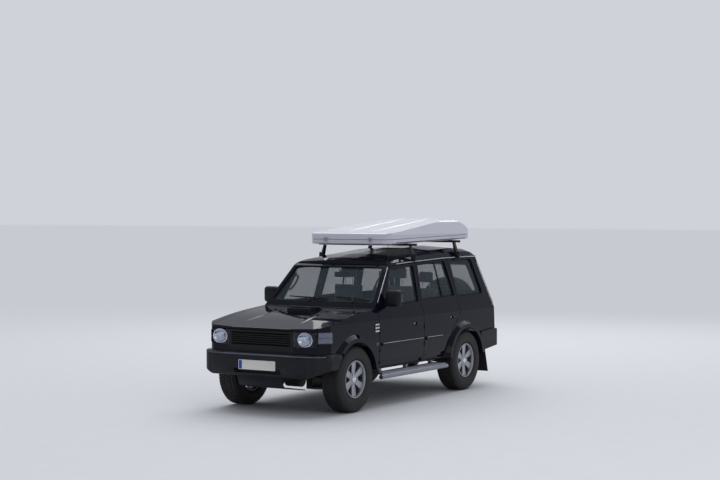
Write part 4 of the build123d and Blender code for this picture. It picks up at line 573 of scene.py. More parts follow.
def lug(middle, width, top, length, turn, start):
    """One tread block, turned a little from the top of the wheel."""
    half = Vector((width, length, LUG_DEPTH)) / 2
    part = cube(-half, half)
    crown = [v for v in part.verts if v.co.z > 0]
    bmesh.ops.scale(part, vec=(0.93, 0.92, 1), verts=crown)
    soften(part, [e for e in part.edges if all(v in crown for v in e.verts)], 0.0015, 1)
    place = Matrix.Translation((middle, 0, top - LUG_DEPTH / 2)) @ Matrix.Rotation(math.radians(turn), 4, "Z")
    bmesh.ops.transform(part, matrix=Matrix.Rotation(start, 4, "X") @ place, verts=part.verts)
    return part


def tyre_form():
    form = bmesh.new()
    loop = TYRE_HALF + [(-x, r) for x, r in reversed(TYRE_HALF[:-1])]
    lathe(form, loop + [TYRE_HALF[0]], steps=96)
    for index, row in enumerate(TREAD_ROWS):
        spun_copies(form, lug(*row, index * 0.027), LUGS)
    for way in (1, -1):
        part = lug(0, 0.03, 0.0, 0.024, 0, 0)
        tilt = Matrix.Rotation(math.radians(way * 36), 4, "Y")
        place = Matrix.Rotation(0.03 * way, 4, "X") @ Matrix.Translation((way * 0.1115, 0, 0.3725)) @ tilt
        bmesh.ops.transform(part, matrix=place, verts=part.verts)
        spun_copies(form, part, LUGS)
    return form


print("tread lugs", (len(TREAD_ROWS) + 2) * LUGS)

# %% [markdown]
# ## Wheels
# The wheels are cast: a turned barrel with a bright outer lip, six broad spokes that widen
# towards the rim, a raised hub with six nuts and a cap. The brake disc shows through.

# %% Rim, nuts, cap and disc
RIM_BARREL = [
    (0.104, 0.2195), (0.1145, 0.2195), (0.1155, 0.2175), (0.1155, 0.2125), (0.1135, 0.2065), (0.1, 0.2015),
    (0.088, 0.199), (0.074, 0.197), (0.05, 0.1965), (0.0, 0.1935), (-0.09, 0.1935), (-0.104, 0.2), (-0.115, 0.2135),
    (-0.115, 0.2175), (-0.104, 0.2185), (-0.1, 0.2045), (-0.02, 0.2), (0.1, 0.206), (0.104, 0.2195),
]
HUB = [
    (0.05, 0.0325), (0.05, 0.078), (0.07, 0.08), (0.082, 0.078),
    (0.0885, 0.07), (0.089, 0.05), (0.089, 0.0325), (0.05, 0.0325),
]
CAP = [(0.084, 0.0), (0.084, 0.037), (0.094, 0.0365), (0.0985, 0.034), (0.1, 0.028), (0.1008, 0.0)]
NUT = [(0.086, 0.0), (0.086, 0.0105), (0.1, 0.0105), (0.104, 0.008), (0.106, 0.0)]
DISC = [(-0.046, 0.034), (-0.046, 0.15), (-0.024, 0.15), (-0.024, 0.034), (-0.046, 0.034)]
SPOKE_COUNT = 6


def spoke_form():
    """One broad spoke, widened at the rim and hollowed a little along its face."""
    part = cube(Vector((0.057, -0.033, 0.065)), Vector((0.087, 0.033, 0.201)))
    outer = [v for v in part.verts if v.co.z > 0.15]
    bmesh.ops.scale(part, vec=(1, 1.36, 1), verts=outer)
    bmesh.ops.translate(part, vec=(0.008, 0, 0), verts=outer)
    soften(part, part.edges[:], 0.009, 3)
    face = [f for f in part.faces if f.normal.x > 0.9]
    bmesh.ops.inset_region(part, faces=face, thickness=0.009, depth=-0.004)
    return part


def rim_form():
    form = bmesh.new()
    lathe(form, RIM_BARREL, steps=72)
    lathe(form, HUB, steps=48)
    spun_copies(form, spoke_form(), SPOKE_COUNT)
    return form


def fittings_form():
    form = bmesh.new()
    lathe(form, CAP, steps=32)
    for index in range(6):
        turn = Matrix.Rotation(math.tau * (index + 0.5) / 6, 4, "X")
        lathe(form, NUT, turn @ Matrix.Translation((0, 0, 0.057)), steps=6)
    return form


def disc_form():
    form = bmesh.new()
    lathe(form, DISC, steps=48)
    return form


def wheel_pieces(place, body, rows):
    """Puts forms at one wheel. A row: name, maker, finish, slot, replaced nodes."""
    for name, make, finish, slot, old in rows:
        form = make()
        bmesh.ops.transform(form, matrix=place, verts=form.verts)
        piece(name, form, finish, body, slot, replaces=old)


HALF_TRACK, WHEEL_Z = 0.737, 0.3885
for side, way in SIDES:
    for end, y in (("front", 0.0), ("rear", 2.725)):
        name = end + "_" + side
        wheel_pieces(shift(way * HALF_TRACK, y, WHEEL_Z) @ TO_SIDE[way], "wheel_" + name, [
            ("tyre_%s_detail" % name, tyre_form, "tyre_rubber", None, ["tyre_" + name]),
            ("rim_%s_detail" % name, rim_form, "wheel_alloy", None, ["rim_" + name]),
            ("wheel_nuts_" + name, fittings_form, "bright_trim", "black_plastic", []),
            ("brake_disc_" + name, disc_form, "exhaust_steel", None, []),
        ])
spare_low, spare_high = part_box("spare_tyre")
wheel_pieces(Matrix.Translation((spare_low + spare_high) / 2) @ TO_BACK, "tailgate", [
    ("spare_tyre_detail", tyre_form, "tyre_rubber", None, ["spare_tyre"]),
    ("spare_rim_detail", rim_form, "wheel_alloy", None, ["spare_rim"]),
    ("spare_wheel_cap", fittings_form, "bright_trim", "black_plastic", []),
])
print("wheels", 5)

# %% [markdown]
# ## Window seals
# Each pane sits in a black rubber frame. The pane's outer face is picked from a copy of
# its mesh, inset to leave only the border, and that border gets a thickness. So the seal
# follows each pane's own corners.

# %% Rubber frames


SEAL_THICK = 0.004


def outer_face(node, way):
    """The faces of a node that look one way, as a merged bmesh."""
    form = copy_of(node)
    form.normal_update()
    wanted = Vector(way).normalized()
    rest = [f for f in form.faces if f.normal.dot(wanted) < 0.6]
    bmesh.ops.delete(form, geom=rest, context="FACES")
    bmesh.ops.dissolve_limit(form, angle_limit=0.02, verts=form.verts, edges=form.edges)
    return form


def seal(name, node, way, body, width=0.016):
    form = outer_face(node, way)
    drawn_in = {"thickness": width, "use_even_offset": True, "use_boundary": True}
    border = bmesh.ops.inset_region(form, faces=form.faces[:], **drawn_in)["faces"]
    bmesh.ops.delete(form, geom=[face for face in form.faces if face not in border], context="FACES")
    form.normal_update()
    raised = bmesh.ops.extrude_face_region(form, geom=form.faces[:])["geom"]
    bmesh.ops.translate(form, vec=Vector(way).normalized() * SEAL_THICK, verts=verts_of(raised))
    piece(name, form, "seal_rubber", body)


seal("windscreen_seal", "windscreen", (0, -1, 1), "car", 0.02)
seal("tailgate_glass_seal", "tailgate_glass", (0, 1, 0.4), "tailgate", 0.018)
for side, way in SIDES:
    for end in ("front", "rear"):
        seal("%s_glass_seal_%s" % (end, side), "%s_glass_%s" % (end, side), (way, 0, 0.3), "%s_door_%s" % (end, side))
    seal("quarter_seal_" + side, "quarter_windows", (way, 0, 0.3), "car")
print("seals", 8)

# %% [markdown]
# ## Bright lines along the sides
# A polished drip rail runs up the windscreen pillar, along the roof gutter and down the
# rear corner. Slimmer bright strips cap the rubbing strips on the doors. Each is a small
# half-round section swept along points that rays find on the panels.

# %% Drip rail and side strips
RAIL_POINTS = [(0.604, 1.246), (0.998, 1.654)]
GUTTER_POINTS = [(1.2, 1.693), (1.6, 1.710), (2.0, 1.722), (2.4, 1.735), (2.8, 1.736), (3.31, 1.736)]
TAIL_POINTS = [(3.345, 1.66), (3.36, 1.60), (3.49, 1.255), (3.56, 1.06)]
gutters = Panels("body_side_left")


def mirrored(points, way):
    return [Vector((p.x * way, p.y, p.z)) for p in points]


rail_path = [gutters.left(y, z, 0.001) for y, z in between(RAIL_POINTS, 0.06)]
gutter_path = [gutters.left(y, z, 0.001) for y, z in between(GUTTER_POINTS, 0.1)]
tail_path = [gutters.left(y, z, 0.001) for y, z in between(TAIL_POINTS, 0.06)]
for side, way in SIDES:
    rails = [mirrored(path, way) for path in (rail_path, gutter_path, tail_path)]
    swept("drip_rail_" + side, "bright_trim", "car", flat_section(0.011, 0.004), *rails, up=(way, 0, 0.25))
print("drip rail length", round(sum((b - a).length for a, b in zip(gutter_path, gutter_path[1:])), 2))

STRIPS = [  # name, body, from, to
    ("front_strip", "front_door", 0.600, 1.602),
    ("rear_strip", "rear_door", 1.678, 2.10),
]
for side, way in SIDES:
    for name, body, start, end in STRIPS:
        panel = Panels(body + "_left")
        path = mirrored([panel.left(y, 0.750) for y in (start + 0.012, (start + end) / 2, end - 0.012)], way)
        line = [p + Vector((0.001 * way, 0, 0.014)) for p in path]
        door = "%s_%s" % (body, side)
        swept("%s_%s" % (name, side), "black_plastic", door, flat_section(0.036, 0.005, 0.6), path, up=(way, 0, 0))
        swept("%s_line_%s" % (name, side), "bright_trim", door, flat_section(0.007, 0.0065, 0.6), line, up=(way, 0, 0))
print("side strips", 4 * len(STRIPS))

# %% Wing vents and side repeaters
wings = Panels("front_wings")
for side, way in SIDES:
    slots = [mirrored([wings.left(y, z, 0.002) for y in (0.452, 0.542)], way) for z in (0.995, 0.955, 0.915)]
    swept("wing_vent_" + side, "bright_trim", "car", flat_section(0.02, 0.007, 0.5), *slots, up=(way, 0, 0))
    # A flat black panel behind the slats is painted shade for the vent's hollow.
    back = mirrored([wings.left(y, 0.955) for y in (0.44, 0.552)], way)
    swept("wing_vent_shade_panel_" + side, "black_plastic", "car", flat_section(0.12, 0.0028, 0.85), back, up=(way, 0, 0))
    spot = mirrored([wings.left(0.50, 0.765)], way)[0]
    lamp = ((-0.004, -0.034, -0.016), (0.008, 0.034, 0.016), 0.0045, 3)
    blocks("side_repeater_" + side, "lamp_amber", "car", [lamp], base=spot)
print("wing fittings done")

# %% [markdown]
# ## Headlamps
# Behind a clear cover stands a black housing with a deep bright bowl and a ring round it.
# The cover is the CAD node. Inside it come the tray, made from a block whose front is
# inset and pushed in, the turned bowl, and a capped bulb.

# %% Headlamp insides
LAMP_X, LAMP_Y, LAMP_Z = 0.598, -0.630, 0.882
BOWL = [
    (0.0, 0.0), (0.003, 0.018), (0.012, 0.04), (0.028, 0.062), (0.048, 0.0765),
    (0.05, 0.0775), (0.046, 0.0785), (0.024, 0.0635), (-0.002, 0.02), (-0.004, 0.0),
]
BEZEL = [
    (0.046, 0.0765), (0.054, 0.0775), (0.0565, 0.0815), (0.054, 0.086),
    (0.044, 0.087), (0.044, 0.0765), (0.046, 0.0765),
]
BULB = [(0.002, 0.0), (0.002, 0.011), (0.03, 0.011), (0.036, 0.0135), (0.043, 0.0125), (0.046, 0.008), (0.0475, 0.0)]
LAMP_PARTS = [  # name, profile, finish, stretch across
    ("lamp_bowl", BOWL, "bowl_bright", 1.2),
    ("lamp_ring", BEZEL, "mirror_bright", 1.2),
    ("lamp_bulb", BULB, "bright_trim", 1),
]


def tray(start, end, wall, depth):
    """Block whose front face is pushed in to make an open tray."""
    form = cube(start, end)
    form.normal_update()
    soften(form, [e for e in form.edges if abs((e.verts[0].co - e.verts[1].co).y) > 0.01], 0.018, 4)
    form.normal_update()
    front = [f for f in form.faces if f.normal.y < -0.9]
    bmesh.ops.inset_region(form, faces=front, thickness=wall, depth=0)
    bmesh.ops.translate(form, vec=(0, depth, 0), verts=list({v for f in front for v in f.verts}))
    return form


for side, way in SIDES:
    housing = tray(at(0.462 * way, -0.676, 0.803), at(0.736 * way, -0.604, 0.963), 0.006, 0.05)
    piece("lamp_housing_" + side, housing, "black_plastic", "car")
    for label, profile, finish, across in LAMP_PARTS:
        place = shift(way * LAMP_X, LAMP_Y, LAMP_Z) @ Matrix.Diagonal((across, 1, 0.985, 1)) @ TO_FRONT
        turned("%s_%s" % (label, side), finish, "car", profile, place, steps=56)
print("headlamp insides", 8)

# %% Cells of the turn lamps


def shrunk(node, way, low, high, draw_in):
    """A copy of one side of a node, drawn in from its surface and cut between two heights."""
    form = copy_of(node)
    bmesh.ops.delete(form, geom=[v for v in form.verts if v.co.x * way < 0], context="VERTS")
    form.normal_update()
    for vert in form.verts:
        vert.co -= vert.normal * draw_in
    for z, turn in ((low, -1), (high, 1)):
        geom = form.verts[:] + form.edges[:] + form.faces[:]
        cut = bmesh.ops.bisect_plane(form, geom=geom, plane_co=(0, 0, z), plane_no=(0, 0, turn), clear_outer=True)
        edges = [e for e in cut["geom_cut"] if isinstance(e, bmesh.types.BMEdge)]
        bmesh.ops.contextual_create(form, geom=edges)
    return form


for side, way in SIDES:
    for index, (low, high) in enumerate(((0.846, 0.900), (0.908, 0.962))):
        piece("turn_cell_%d_%s" % (index, side), shrunk("turn_lamps", way, low, high, 0.008), "cell_pale", "car")
print("turn cells", 4)

# %% [markdown]
# ## Nose, bumper and plates
# The grille opening is nearly black: thin upright fins stand behind the CAD bars, and a black sheet
# behind them is painted shade for the dark space behind the grille. The plates are blank: a pressed
# rim, a bare pale face, and on the front one a plain blue end.

# %% Grille fins and shade sheet
fins = row([-0.405 + i * 0.027 for i in range(31)], 0.0015, (-0.716, 0.806), (-0.690, 0.944), 0.0006, 1)
# The last block is a black sheet behind the fins, painted shade for the dark space behind the grille.
blocks("grille_fins_and_shade_sheet", "black_plastic", "car", fins + [((-0.41, -0.688, 0.803), (0.41, -0.684, 0.947), 0.001, 1)])
print("grille fins", len(fins))

# %% Plates
SCREW = [(0, 0), (0, 0.006), (0.0015, 0.0055), (0.002, 0.003), (0.002, 0)]


def rimmed(width, tall, corner, steps, rim, lift):
    """A flat face with rounded corners and a raised rim."""
    form = bmesh.new()
    bmesh.ops.create_grid(form, x_segments=1, y_segments=1, size=0.5)
    bmesh.ops.scale(form, vec=(width, tall, 1), verts=form.verts)
    soften(form, form.verts[:], corner, steps, "VERTICES")
    bmesh.ops.inset_region(form, faces=form.faces[:], thickness=rim, depth=lift, use_boundary=True)
    return form


def plate_form(y, z, turn_round):
    """Pressed plate that faces the front, or the back if it is turned round."""
    form = rimmed(0.52, 0.112, 0.01, 4, 0.004, 0.0016)
    inner = max(form.faces, key=lambda f: f.calc_area())
    bmesh.ops.inset_region(form, faces=[inner], thickness=0.002, depth=-0.0016)
    bmesh.ops.solidify(form, geom=form.faces[:], thickness=0.0015)
    turn = Matrix.Rotation(math.pi / 2, 4, "X") @ Matrix.Rotation(math.pi * turn_round, 4, "Y")
    bmesh.ops.transform(form, matrix=shift(0, y, z) @ turn, verts=form.verts)
    return form


bumper = Panels("front_bumper")
plate_y = bumper.front(0, 0.6).y + FRONT_AXLE
form = bmesh.new()
brick(form, at(-0.272, plate_y - 0.03, 0.516), at(0.272, plate_y + 0.011, 0.636), 0.004, 2)
cutter = link("plate_recess", mesh_of("plate_recess", form))
form = copy_of("front_bumper")
recessed = piece("front_bumper_skin", form, "bumper_plastic", "car", smooth=30, replaces=["front_bumper"])
recessed.data = with_modifier(recessed, "BOOLEAN", object=cutter, operation="DIFFERENCE", solver="EXACT")
bpy.data.objects.remove(cutter)
piece("front_plate", plate_form(plate_y + 0.0035, 0.576, False), "plate_pale", "car")
band = ((-0.250, plate_y + 0.0008, 0.528), (-0.210, plate_y + 0.0035, 0.624), 0.0006, 2)
blocks("front_plate_band", "plate_blue", "car", [band])
places = [shift(x, plate_y + 0.0025, 0.606) @ TO_FRONT for x in (-0.19, 0.19)]
turned("front_plate_screws", "bright_trim", "car", SCREW, *places, steps=12)
print("front plate at", round(plate_y, 3))

# %% Bumper's painted top highlight and air slot
# A pale metal strip along the bumper's rounded top edge is a painted highlight.
top_line = [bumper.front(i * 0.056, 0.696) for i in range(-15, 16)]
swept("bumper_top_highlight", "dull_trim", "car", flat_section(0.016, 0.0025, 0.8), top_line, up=(0, -1, 0.6))
slats = [[at(x, -0.762, z) for x in (-0.335, 0, 0.335)] for z in (0.498, 0.515, 0.532)]
swept("bumper_slats", "black_plastic", "car", flat_section(0.006, 0.012, 0.4), *slats, up=(0, -1, 0))
print("bumper line points", len(top_line))

# %% [markdown]
# ## Bonnet scoop and wipers
# The scoop's mouth is closed by a black sheet, painted shade for the dark inside of the
# opening, with two bars across it. The wipers park along the foot of the windscreen: a
# tapered arm from a capped spindle, a bow and a rubber blade.

# %% Scoop mouth
bonnet_panel = Panels("bonnet")
mouth = [bonnet_panel.front(0, z / 1000) for z in range(1060, 1240, 3)
         if bonnet_panel.tree.ray_cast(at(0, -2, z / 1000), Vector((0, 1, 0)))[0] is not None]
mouth = [p for p in mouth if abs(p.y + FRONT_AXLE - 0.065) < 0.03]
low_z, high_z = min(p.z for p in mouth), max(p.z for p in mouth)
mouth_y = sum(p.y for p in mouth) / len(mouth) + FRONT_AXLE
# A thin black block fills the scoop's mouth: painted shade for the dark inside of the opening.
mouth_shade_box = ((-0.162, mouth_y - 0.004, low_z + 0.003), (0.162, mouth_y + 0.004, high_z - 0.004), 0.003, 3)
blocks("scoop_mouth_shade", "seal_rubber", "bonnet", [mouth_shade_box])
levels = [low_z + (high_z - low_z) * share for share in (0.35, 0.68)]
bars = [((-0.158, mouth_y - 0.008, z - 0.002), (0.158, mouth_y - 0.002, z + 0.002), 0.0012, 2) for z in levels]
blocks("scoop_bars", "black_plastic", "bonnet", bars)
print("scoop mouth", round(low_z, 3), round(high_z, 3))

# %% Wipers and cowl slots
screen_low, screen_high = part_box("windscreen")
SCREEN_SLOPE = math.atan2(screen_high.z - screen_low.z, screen_high.y - screen_low.y)
OUTWARD = Vector((0, -math.sin(SCREEN_SLOPE), math.cos(SCREEN_SLOPE)))


def on_screen(x, up, lift):
    """A point over the windscreen, a distance up from its foot and off its face."""
    run = Vector((0, math.cos(SCREEN_SLOPE), math.sin(SCREEN_SLOPE)))
    return Vector((x, screen_low.y, screen_low.z)) + run * up + OUTWARD * lift


BLADE = [(-0.0015, -0.004), (0.0015, -0.004), (0.004, 0.003), (0.003, 0.008), (-0.003, 0.008), (-0.004, 0.003)]
WIPERS = [  # spindle x, blade start (x, up), blade end (x, up)
    ("left", 0.46, (0.66, 0.035), (0.16, 0.075)),
    ("right", -0.18, (0.06, 0.03), (-0.5, 0.06)),
]
for label, spindle_x, start, end in WIPERS:
    form = bmesh.new()
    spindle = on_screen(spindle_x, -0.012, 0.012)
    middle = on_screen((start[0] + end[0]) / 2, (start[1] + end[1]) / 2, 0.024)
    elbow = spindle.lerp(middle, 0.45) + OUTWARD * 0.012
    bend = [spindle + OUTWARD * 0.012, spindle + OUTWARD * 0.016, elbow, middle]
    sweep(form, flat_section(0.016, 0.008, 0.6), bend, up=OUTWARD)
    foot = Matrix.Translation(spindle) @ OUTWARD.to_track_quat("X", "Y").to_matrix().to_4x4()
    lathe(form, [(-0.02, 0.0), (-0.02, 0.013), (0.014, 0.013), (0.02, 0.01), (0.022, 0.0)], foot, steps=20)
    blade = [on_screen(start[0], start[1], 0.019), middle, on_screen(end[0], end[1], 0.019)]
    sweep(form, flat_section(0.009, 0.005, 0.6), blade, up=OUTWARD)
    piece("wiper_arm_" + label, form, "seal_rubber", "car", "black_metal")
    rubber = [on_screen(x, up, 0.011) for x, up in (start, ((start[0] + end[0]) / 2, (start[1] + end[1]) / 2), end)]
    swept("wiper_blade_" + label, "seal_rubber", "car", BLADE, rubber, up=OUTWARD)
cowl = Panels("body_tub", "body_side_left", "body_side_right")
form = bmesh.new()
sweep(form, flat_section(0.036, 0.002, 0.95), [cowl.top(-0.62 + 0.062 * i, 0.488) for i in range(21)])
for index in range(60):
    x = -0.59 + 0.02 * index
    sweep(form, flat_section(0.008, 0.0022, 0.6), [cowl.top(x, y, 0.0018) for y in (0.472, 0.504)])
piece("cowl_grille", form, "black_plastic", "car")
print("wipers", len(WIPERS), "slope", round(math.degrees(SCREEN_SLOPE), 1))

# %% [markdown]
# ## Mirrors and handles
# The door mirrors are black shells. Their glass is a thin rounded plate, set a little
# into a rim that faces back. Door handles get a lock barrel beside the pull.

# %% Mirrors and door locks
LOCK = [
    (-0.004, 0.0), (-0.004, 0.012), (0.002, 0.012), (0.0035, 0.0105),
    (0.0035, 0.004), (0.001, 0.0032), (0.001, 0.0),
]
for side, way in SIDES:
    low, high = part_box("mirror_" + side)
    form = bmesh.new()
    brick(form, Vector((0.797 * way, low.y + 0.002, low.z + 0.004)), Vector((0.993 * way, high.y, high.z)), 0.044, 7)
    brick(form, Vector((0.781 * way, low.y + 0.015, low.z + 0.02)), Vector((0.83 * way, high.y - 0.02, 1.30)), 0.014, 4)
    piece("mirror_shell_" + side, form, "black_plastic", "front_door_" + side, replaces=["mirror_" + side])
    form = rimmed(0.153, 0.150, 0.03, 5, 0.003, 0.0012)
    bmesh.ops.solidify(form, geom=form.faces[:], thickness=0.003)
    place = Matrix.Translation((0.8985 * way, high.y + 0.0008, 1.294)) @ Matrix.Rotation(-math.pi / 2, 4, "X")
    bmesh.ops.transform(form, matrix=place, verts=form.verts)
    piece("mirror_glass_" + side, form, "mirror_bright", "front_door_" + side)
    for name, y, z in (("front", 1.405, 0.952), ("rear", 2.345, 0.977)):
        spot = mirrored([Panels(name + "_door_left").left(y, z)], way)[0]
        door = "%s_door_%s" % (name, side)
        turned("%s_lock_%s" % (name, side), "bright_trim", door, LOCK, Matrix.Translation(spot) @ TO_SIDE[way])
print("mirror glass and locks", 6)

# %% [markdown]
# ## Roof shell fittings
# The shell closes on a black seal. Two grey catches hold its front edge, and two raised
# ribs stiffen the deck. The bars end in plugs, and each foot has a clamp bolt.

# %% Shell seal, catches and ribs
PIN = [(-0.014, 0.0), (-0.014, 0.004), (0.014, 0.004), (0.014, 0.0)]
RIB = [(-0.013, 0), (0.013, 0), (0.008, 0.0045), (0, 0.006), (-0.008, 0.0045)]
lid_low, lid_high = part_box("shell_lid")
shell_lid_panel, shell_base_panel = Panels("shell_lid"), Panels("shell_base")
front_y = lid_low.y + FRONT_AXLE
catches, hooks = bmesh.new(), bmesh.new()
for x in (-0.33, 0.33):
    face = shell_lid_panel.front(x, lid_low.z + 0.022)
    brick(catches, face + Vector((-0.024, -0.010, -0.012)), face + Vector((0.024, 0.001, 0.034)), 0.004, 2)
    brick(catches, face + Vector((-0.015, -0.014, -0.004)), face + Vector((0.015, -0.009, 0.024)), 0.003, 2)
    face = shell_base_panel.front(x, lid_low.z - 0.025)
    brick(hooks, face + Vector((-0.022, -0.009, -0.016)), face + Vector((0.022, 0.001, 0.012)), 0.003, 2)
    lathe(hooks, PIN, Matrix.Translation(face + Vector((0, -0.0095, 0.002))), steps=14)
piece("shell_catches", catches, "step_alloy", "shell_lid")
piece("shell_catch_hooks", hooks, "step_alloy", "car")
ribs = []
for x in (-0.19, 0.19):
    path = [shell_lid_panel.top(x, 1.33 + 0.08 * i, -0.0065 + 0.006 * math.sin(math.pi * i / 21)) for i in range(22)]
    ribs.append([point for point in path if point.z < lid_high.z - 0.007])
swept("shell_ribs", "shell_white", "shell_lid", RIB, *ribs)
form = bmesh.new()
along = [front_y + 0.09 + 0.1 * i for i in range(20)]
seam = [shell_base_panel.left(y, lid_low.z + (y - front_y) * 0.019 - 0.012, 0.0006) for y in along]
for side, way in SIDES:
    sweep(form, flat_section(0.008, 0.003, 0.5), mirrored(seam, way), up=(way, 0, 0))
piece("shell_seal", form, "seal_rubber", "car")
print("shell fittings done, lid foot", round(lid_low.z, 3))

# %% Bar plugs and clamp bolts
BAR_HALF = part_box("roof_bars")[1].x
PLUG = [(-0.003, 0.0), (-0.003, 0.0168), (0.0006, 0.0168), (0.0022, 0.0145), (0.0026, 0.0)]
bars = Panels("roof_bars")
plugs, clamps = [], []
for y in (1.640, 2.790):
    bar_z = bars.top(0.5, y).z - 0.016
    for side, way in SIDES:
        plugs.append(shift(way * (BAR_HALF - 0.003), y, bar_z) @ TO_SIDE[way])
        clamps.append(((0.664 * way, y - 0.036, 1.727), (0.716 * way, y + 0.036, 1.792), 0.012, 3))
        clamps.append(((0.694 * way, y - 0.02, 1.722), (0.722 * way, y + 0.02, 1.81), 0.006, 2))
turned("bar_plugs", "seal_rubber", "car", PLUG, *plugs)
blocks("bar_clamps", "seal_rubber", "car", clamps)
print("bar plugs", len(plugs), "bar height", round(bar_z, 3))

# %% [markdown]
# ## Padded seats
# A seat pad is a closed bag of cloth over foam. Each one starts as a slim rounded block,
# gets an even mesh, and Blender's cloth solver blows it up a little, so the sides pull in
# between the corners. Sewn channels are pressed in afterwards, along straight lines.

# %% Pads blown up by the cloth solver


def slim_block(profile, low_x, high_x, inset=0.02, round_by=0.03):
    """Block from a side outline of (y, z) pairs, drawn in all round."""
    form = bmesh.new()
    bmesh.ops.contextual_create(form, geom=outline(form, [at(low_x + inset, y, z) for y, z in profile]))
    bmesh.ops.inset_region(form, faces=form.faces[:], thickness=inset, use_even_offset=True, use_boundary=True)
    inner = max(form.faces, key=lambda face: face.calc_area())
    bmesh.ops.delete(form, geom=[f for f in form.faces if f is not inner], context="FACES")
    moved = bmesh.ops.extrude_face_region(form, geom=form.faces[:])["geom"]
    bmesh.ops.translate(form, vec=(high_x - low_x - 2 * inset, 0, 0), verts=verts_of(moved))
    bmesh.ops.recalc_face_normals(form, faces=form.faces)
    soften(form, form.edges[:], round_by, 3)
    return form


def swell(made, cap, foot):
    """Cloth pressure pushes the pad out by no more than a cap, and what is below its foot stays."""
    before = [v.co.copy() for v in made.data.vertices]
    group = made.vertex_groups.new(name="held")
    group.add([v.index for v in made.data.vertices if v.co.z < foot], 1.0, "REPLACE")
    cloth = made.modifiers.new("cloth", "CLOTH")
    cloth.settings.quality = 4
    cloth.settings.use_pressure = True
    cloth.settings.uniform_pressure_force = 4
    cloth.settings.effector_weights.gravity = 0
    cloth.settings.vertex_group_mass = "held"
    cloth.collision_settings.use_collision = False
    for step in range(1, 21):
        bpy.context.scene.frame_set(step)
    after = made.evaluated_get(bpy.context.evaluated_depsgraph_get()).data.vertices
    for vert, start, blown in zip(made.data.vertices, before, after):
        move = blown.co - start
        vert.co = start + move * min(1.0, cap / max(move.length, 1e-9))
    made.modifiers.remove(cloth)
    made.vertex_groups.remove(group)
    bpy.context.scene.frame_set(1)


def channels(x=(), y=(), z=()):
    """Sewn lines at some places along each axis: functions that give a point's distance."""
    planes = [(0, place) for place in x] + [(1, place - FRONT_AXLE) for place in y] + [(2, place) for place in z]
    return [lambda point, axis=axis, place=place: point[axis] - place for axis, place in planes]


def press(mesh, lines, depth=0.007, width=0.007):
    """Points near a sewn line sink along their normal."""
    normals = [v.normal.copy() for v in mesh.vertices]
    for vert, normal in zip(mesh.vertices, normals):
        sunk = sum(math.exp(-((line(vert.co) / width) ** 2)) for line in lines)
        vert.co -= normal * depth * min(sunk, 1.0)


def pad(name, form, lines=(), voxel=0.011, cap=0.024, foot=-1, replaces=()):
    made = piece(name, form, "seat_cloth", "car", smooth=180, replaces=replaces)
    made.data = with_modifier(made, "REMESH", mode="VOXEL", voxel_size=voxel)
    swell(made, cap, foot)
    made.data = with_modifier(made, "SUBSURF", levels=1, render_levels=1)
    press(made.data, lines)
    made.data.polygons.foreach_set("use_smooth", [True] * len(made.data.polygons))


print("pad tools ready, quick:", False)

# %% Front seats and rear bench
CUSHION = [(1.190, 0.752), (1.184, 0.888), (1.400, 0.874), (1.650, 0.864), (1.658, 0.745)]
BACKREST = [(1.664, 0.872), (1.700, 1.110), (1.742, 1.440), (1.848, 1.430), (1.790, 0.790), (1.700, 0.770)]
HEADREST = [(1.748, 1.478), (1.760, 1.640), (1.836, 1.640), (1.846, 1.470)]
BENCH = [(2.012, 0.762), (2.008, 0.884), (2.470, 0.862), (2.486, 0.748)]
BENCH_BACK = [(2.492, 0.870), (2.566, 1.370), (2.668, 1.362), (2.618, 0.790), (2.530, 0.770)]
FRAME_TOP = 0.765  # top of a seat's frame


def headrest(name, x, lift, back, half):
    profile = [(y + back, z + lift) for y, z in HEADREST]
    pad(name + "_pad", slim_block(profile, x - half, x + half, 0.014, 0.024), cap=0.016)
    feet = [at(post_x, 1.795 + back, 1.40 + lift) for post_x in (x - 0.055, x + 0.055)]
    posts = [[foot, foot + Vector((0, 0.003, 0.11))] for foot in feet]
    swept(name + "_posts", "bright_trim", "car", round_section(0.006), *posts, up=(0, 1, 0))


for side, way in SIDES:
    x = 0.372 * way
    sewn = (x - 0.15, x + 0.15)
    whole_seats, whole_bench = (["front_seats"], ["rear_seat"]) if way > 0 else ((), ())
    cushion = slim_block(CUSHION, x - 0.25, x + 0.25)
    pad("seat_cushion_" + side, cushion, channels(x=sewn, y=(1.33,)), foot=0.775, replaces=whole_seats)
    pad("seat_back_" + side, slim_block(BACKREST, x - 0.245, x + 0.245), channels(x=sewn, z=(1.12, 1.30)))
    headrest("seat_headrest_" + side, x, 0, 0, 0.13)
    under = row([x], 0.19, (1.25, 0.621), (1.69, FRAME_TOP), 0.015, 3)
    under += row((x - 0.17, x + 0.17), 0.015, (1.22, 0.6215), (1.72, 0.645), 0.003, 2)
    under += row([x + 0.216 * way], 0.016, (1.42, FRAME_TOP), (1.62, 0.80), 0.006, 2)
    blocks("seat_base_" + side, "black_plastic", "car", under)
    low_x, high_x = sorted((0.004 * way, 0.538 * way))
    cushion = slim_block(BENCH, low_x, high_x)
    pad("bench_cushion_" + side, cushion, channels(x=(0.27 * way,), y=(2.12,)), 0.012, foot=0.785, replaces=whole_bench)
    pad("bench_back_" + side, slim_block(BENCH_BACK, low_x, high_x), channels(z=(1.05, 1.25)), 0.012)
    headrest("bench_headrest_" + side, 0.31 * way, -0.085, 0.825, 0.115)
blocks("bench_base", "black_plastic", "car", [((-0.5, 2.22, 0.621), (0.5, 2.60, 0.775), 0.015, 3)])
print("seat pads", 12)

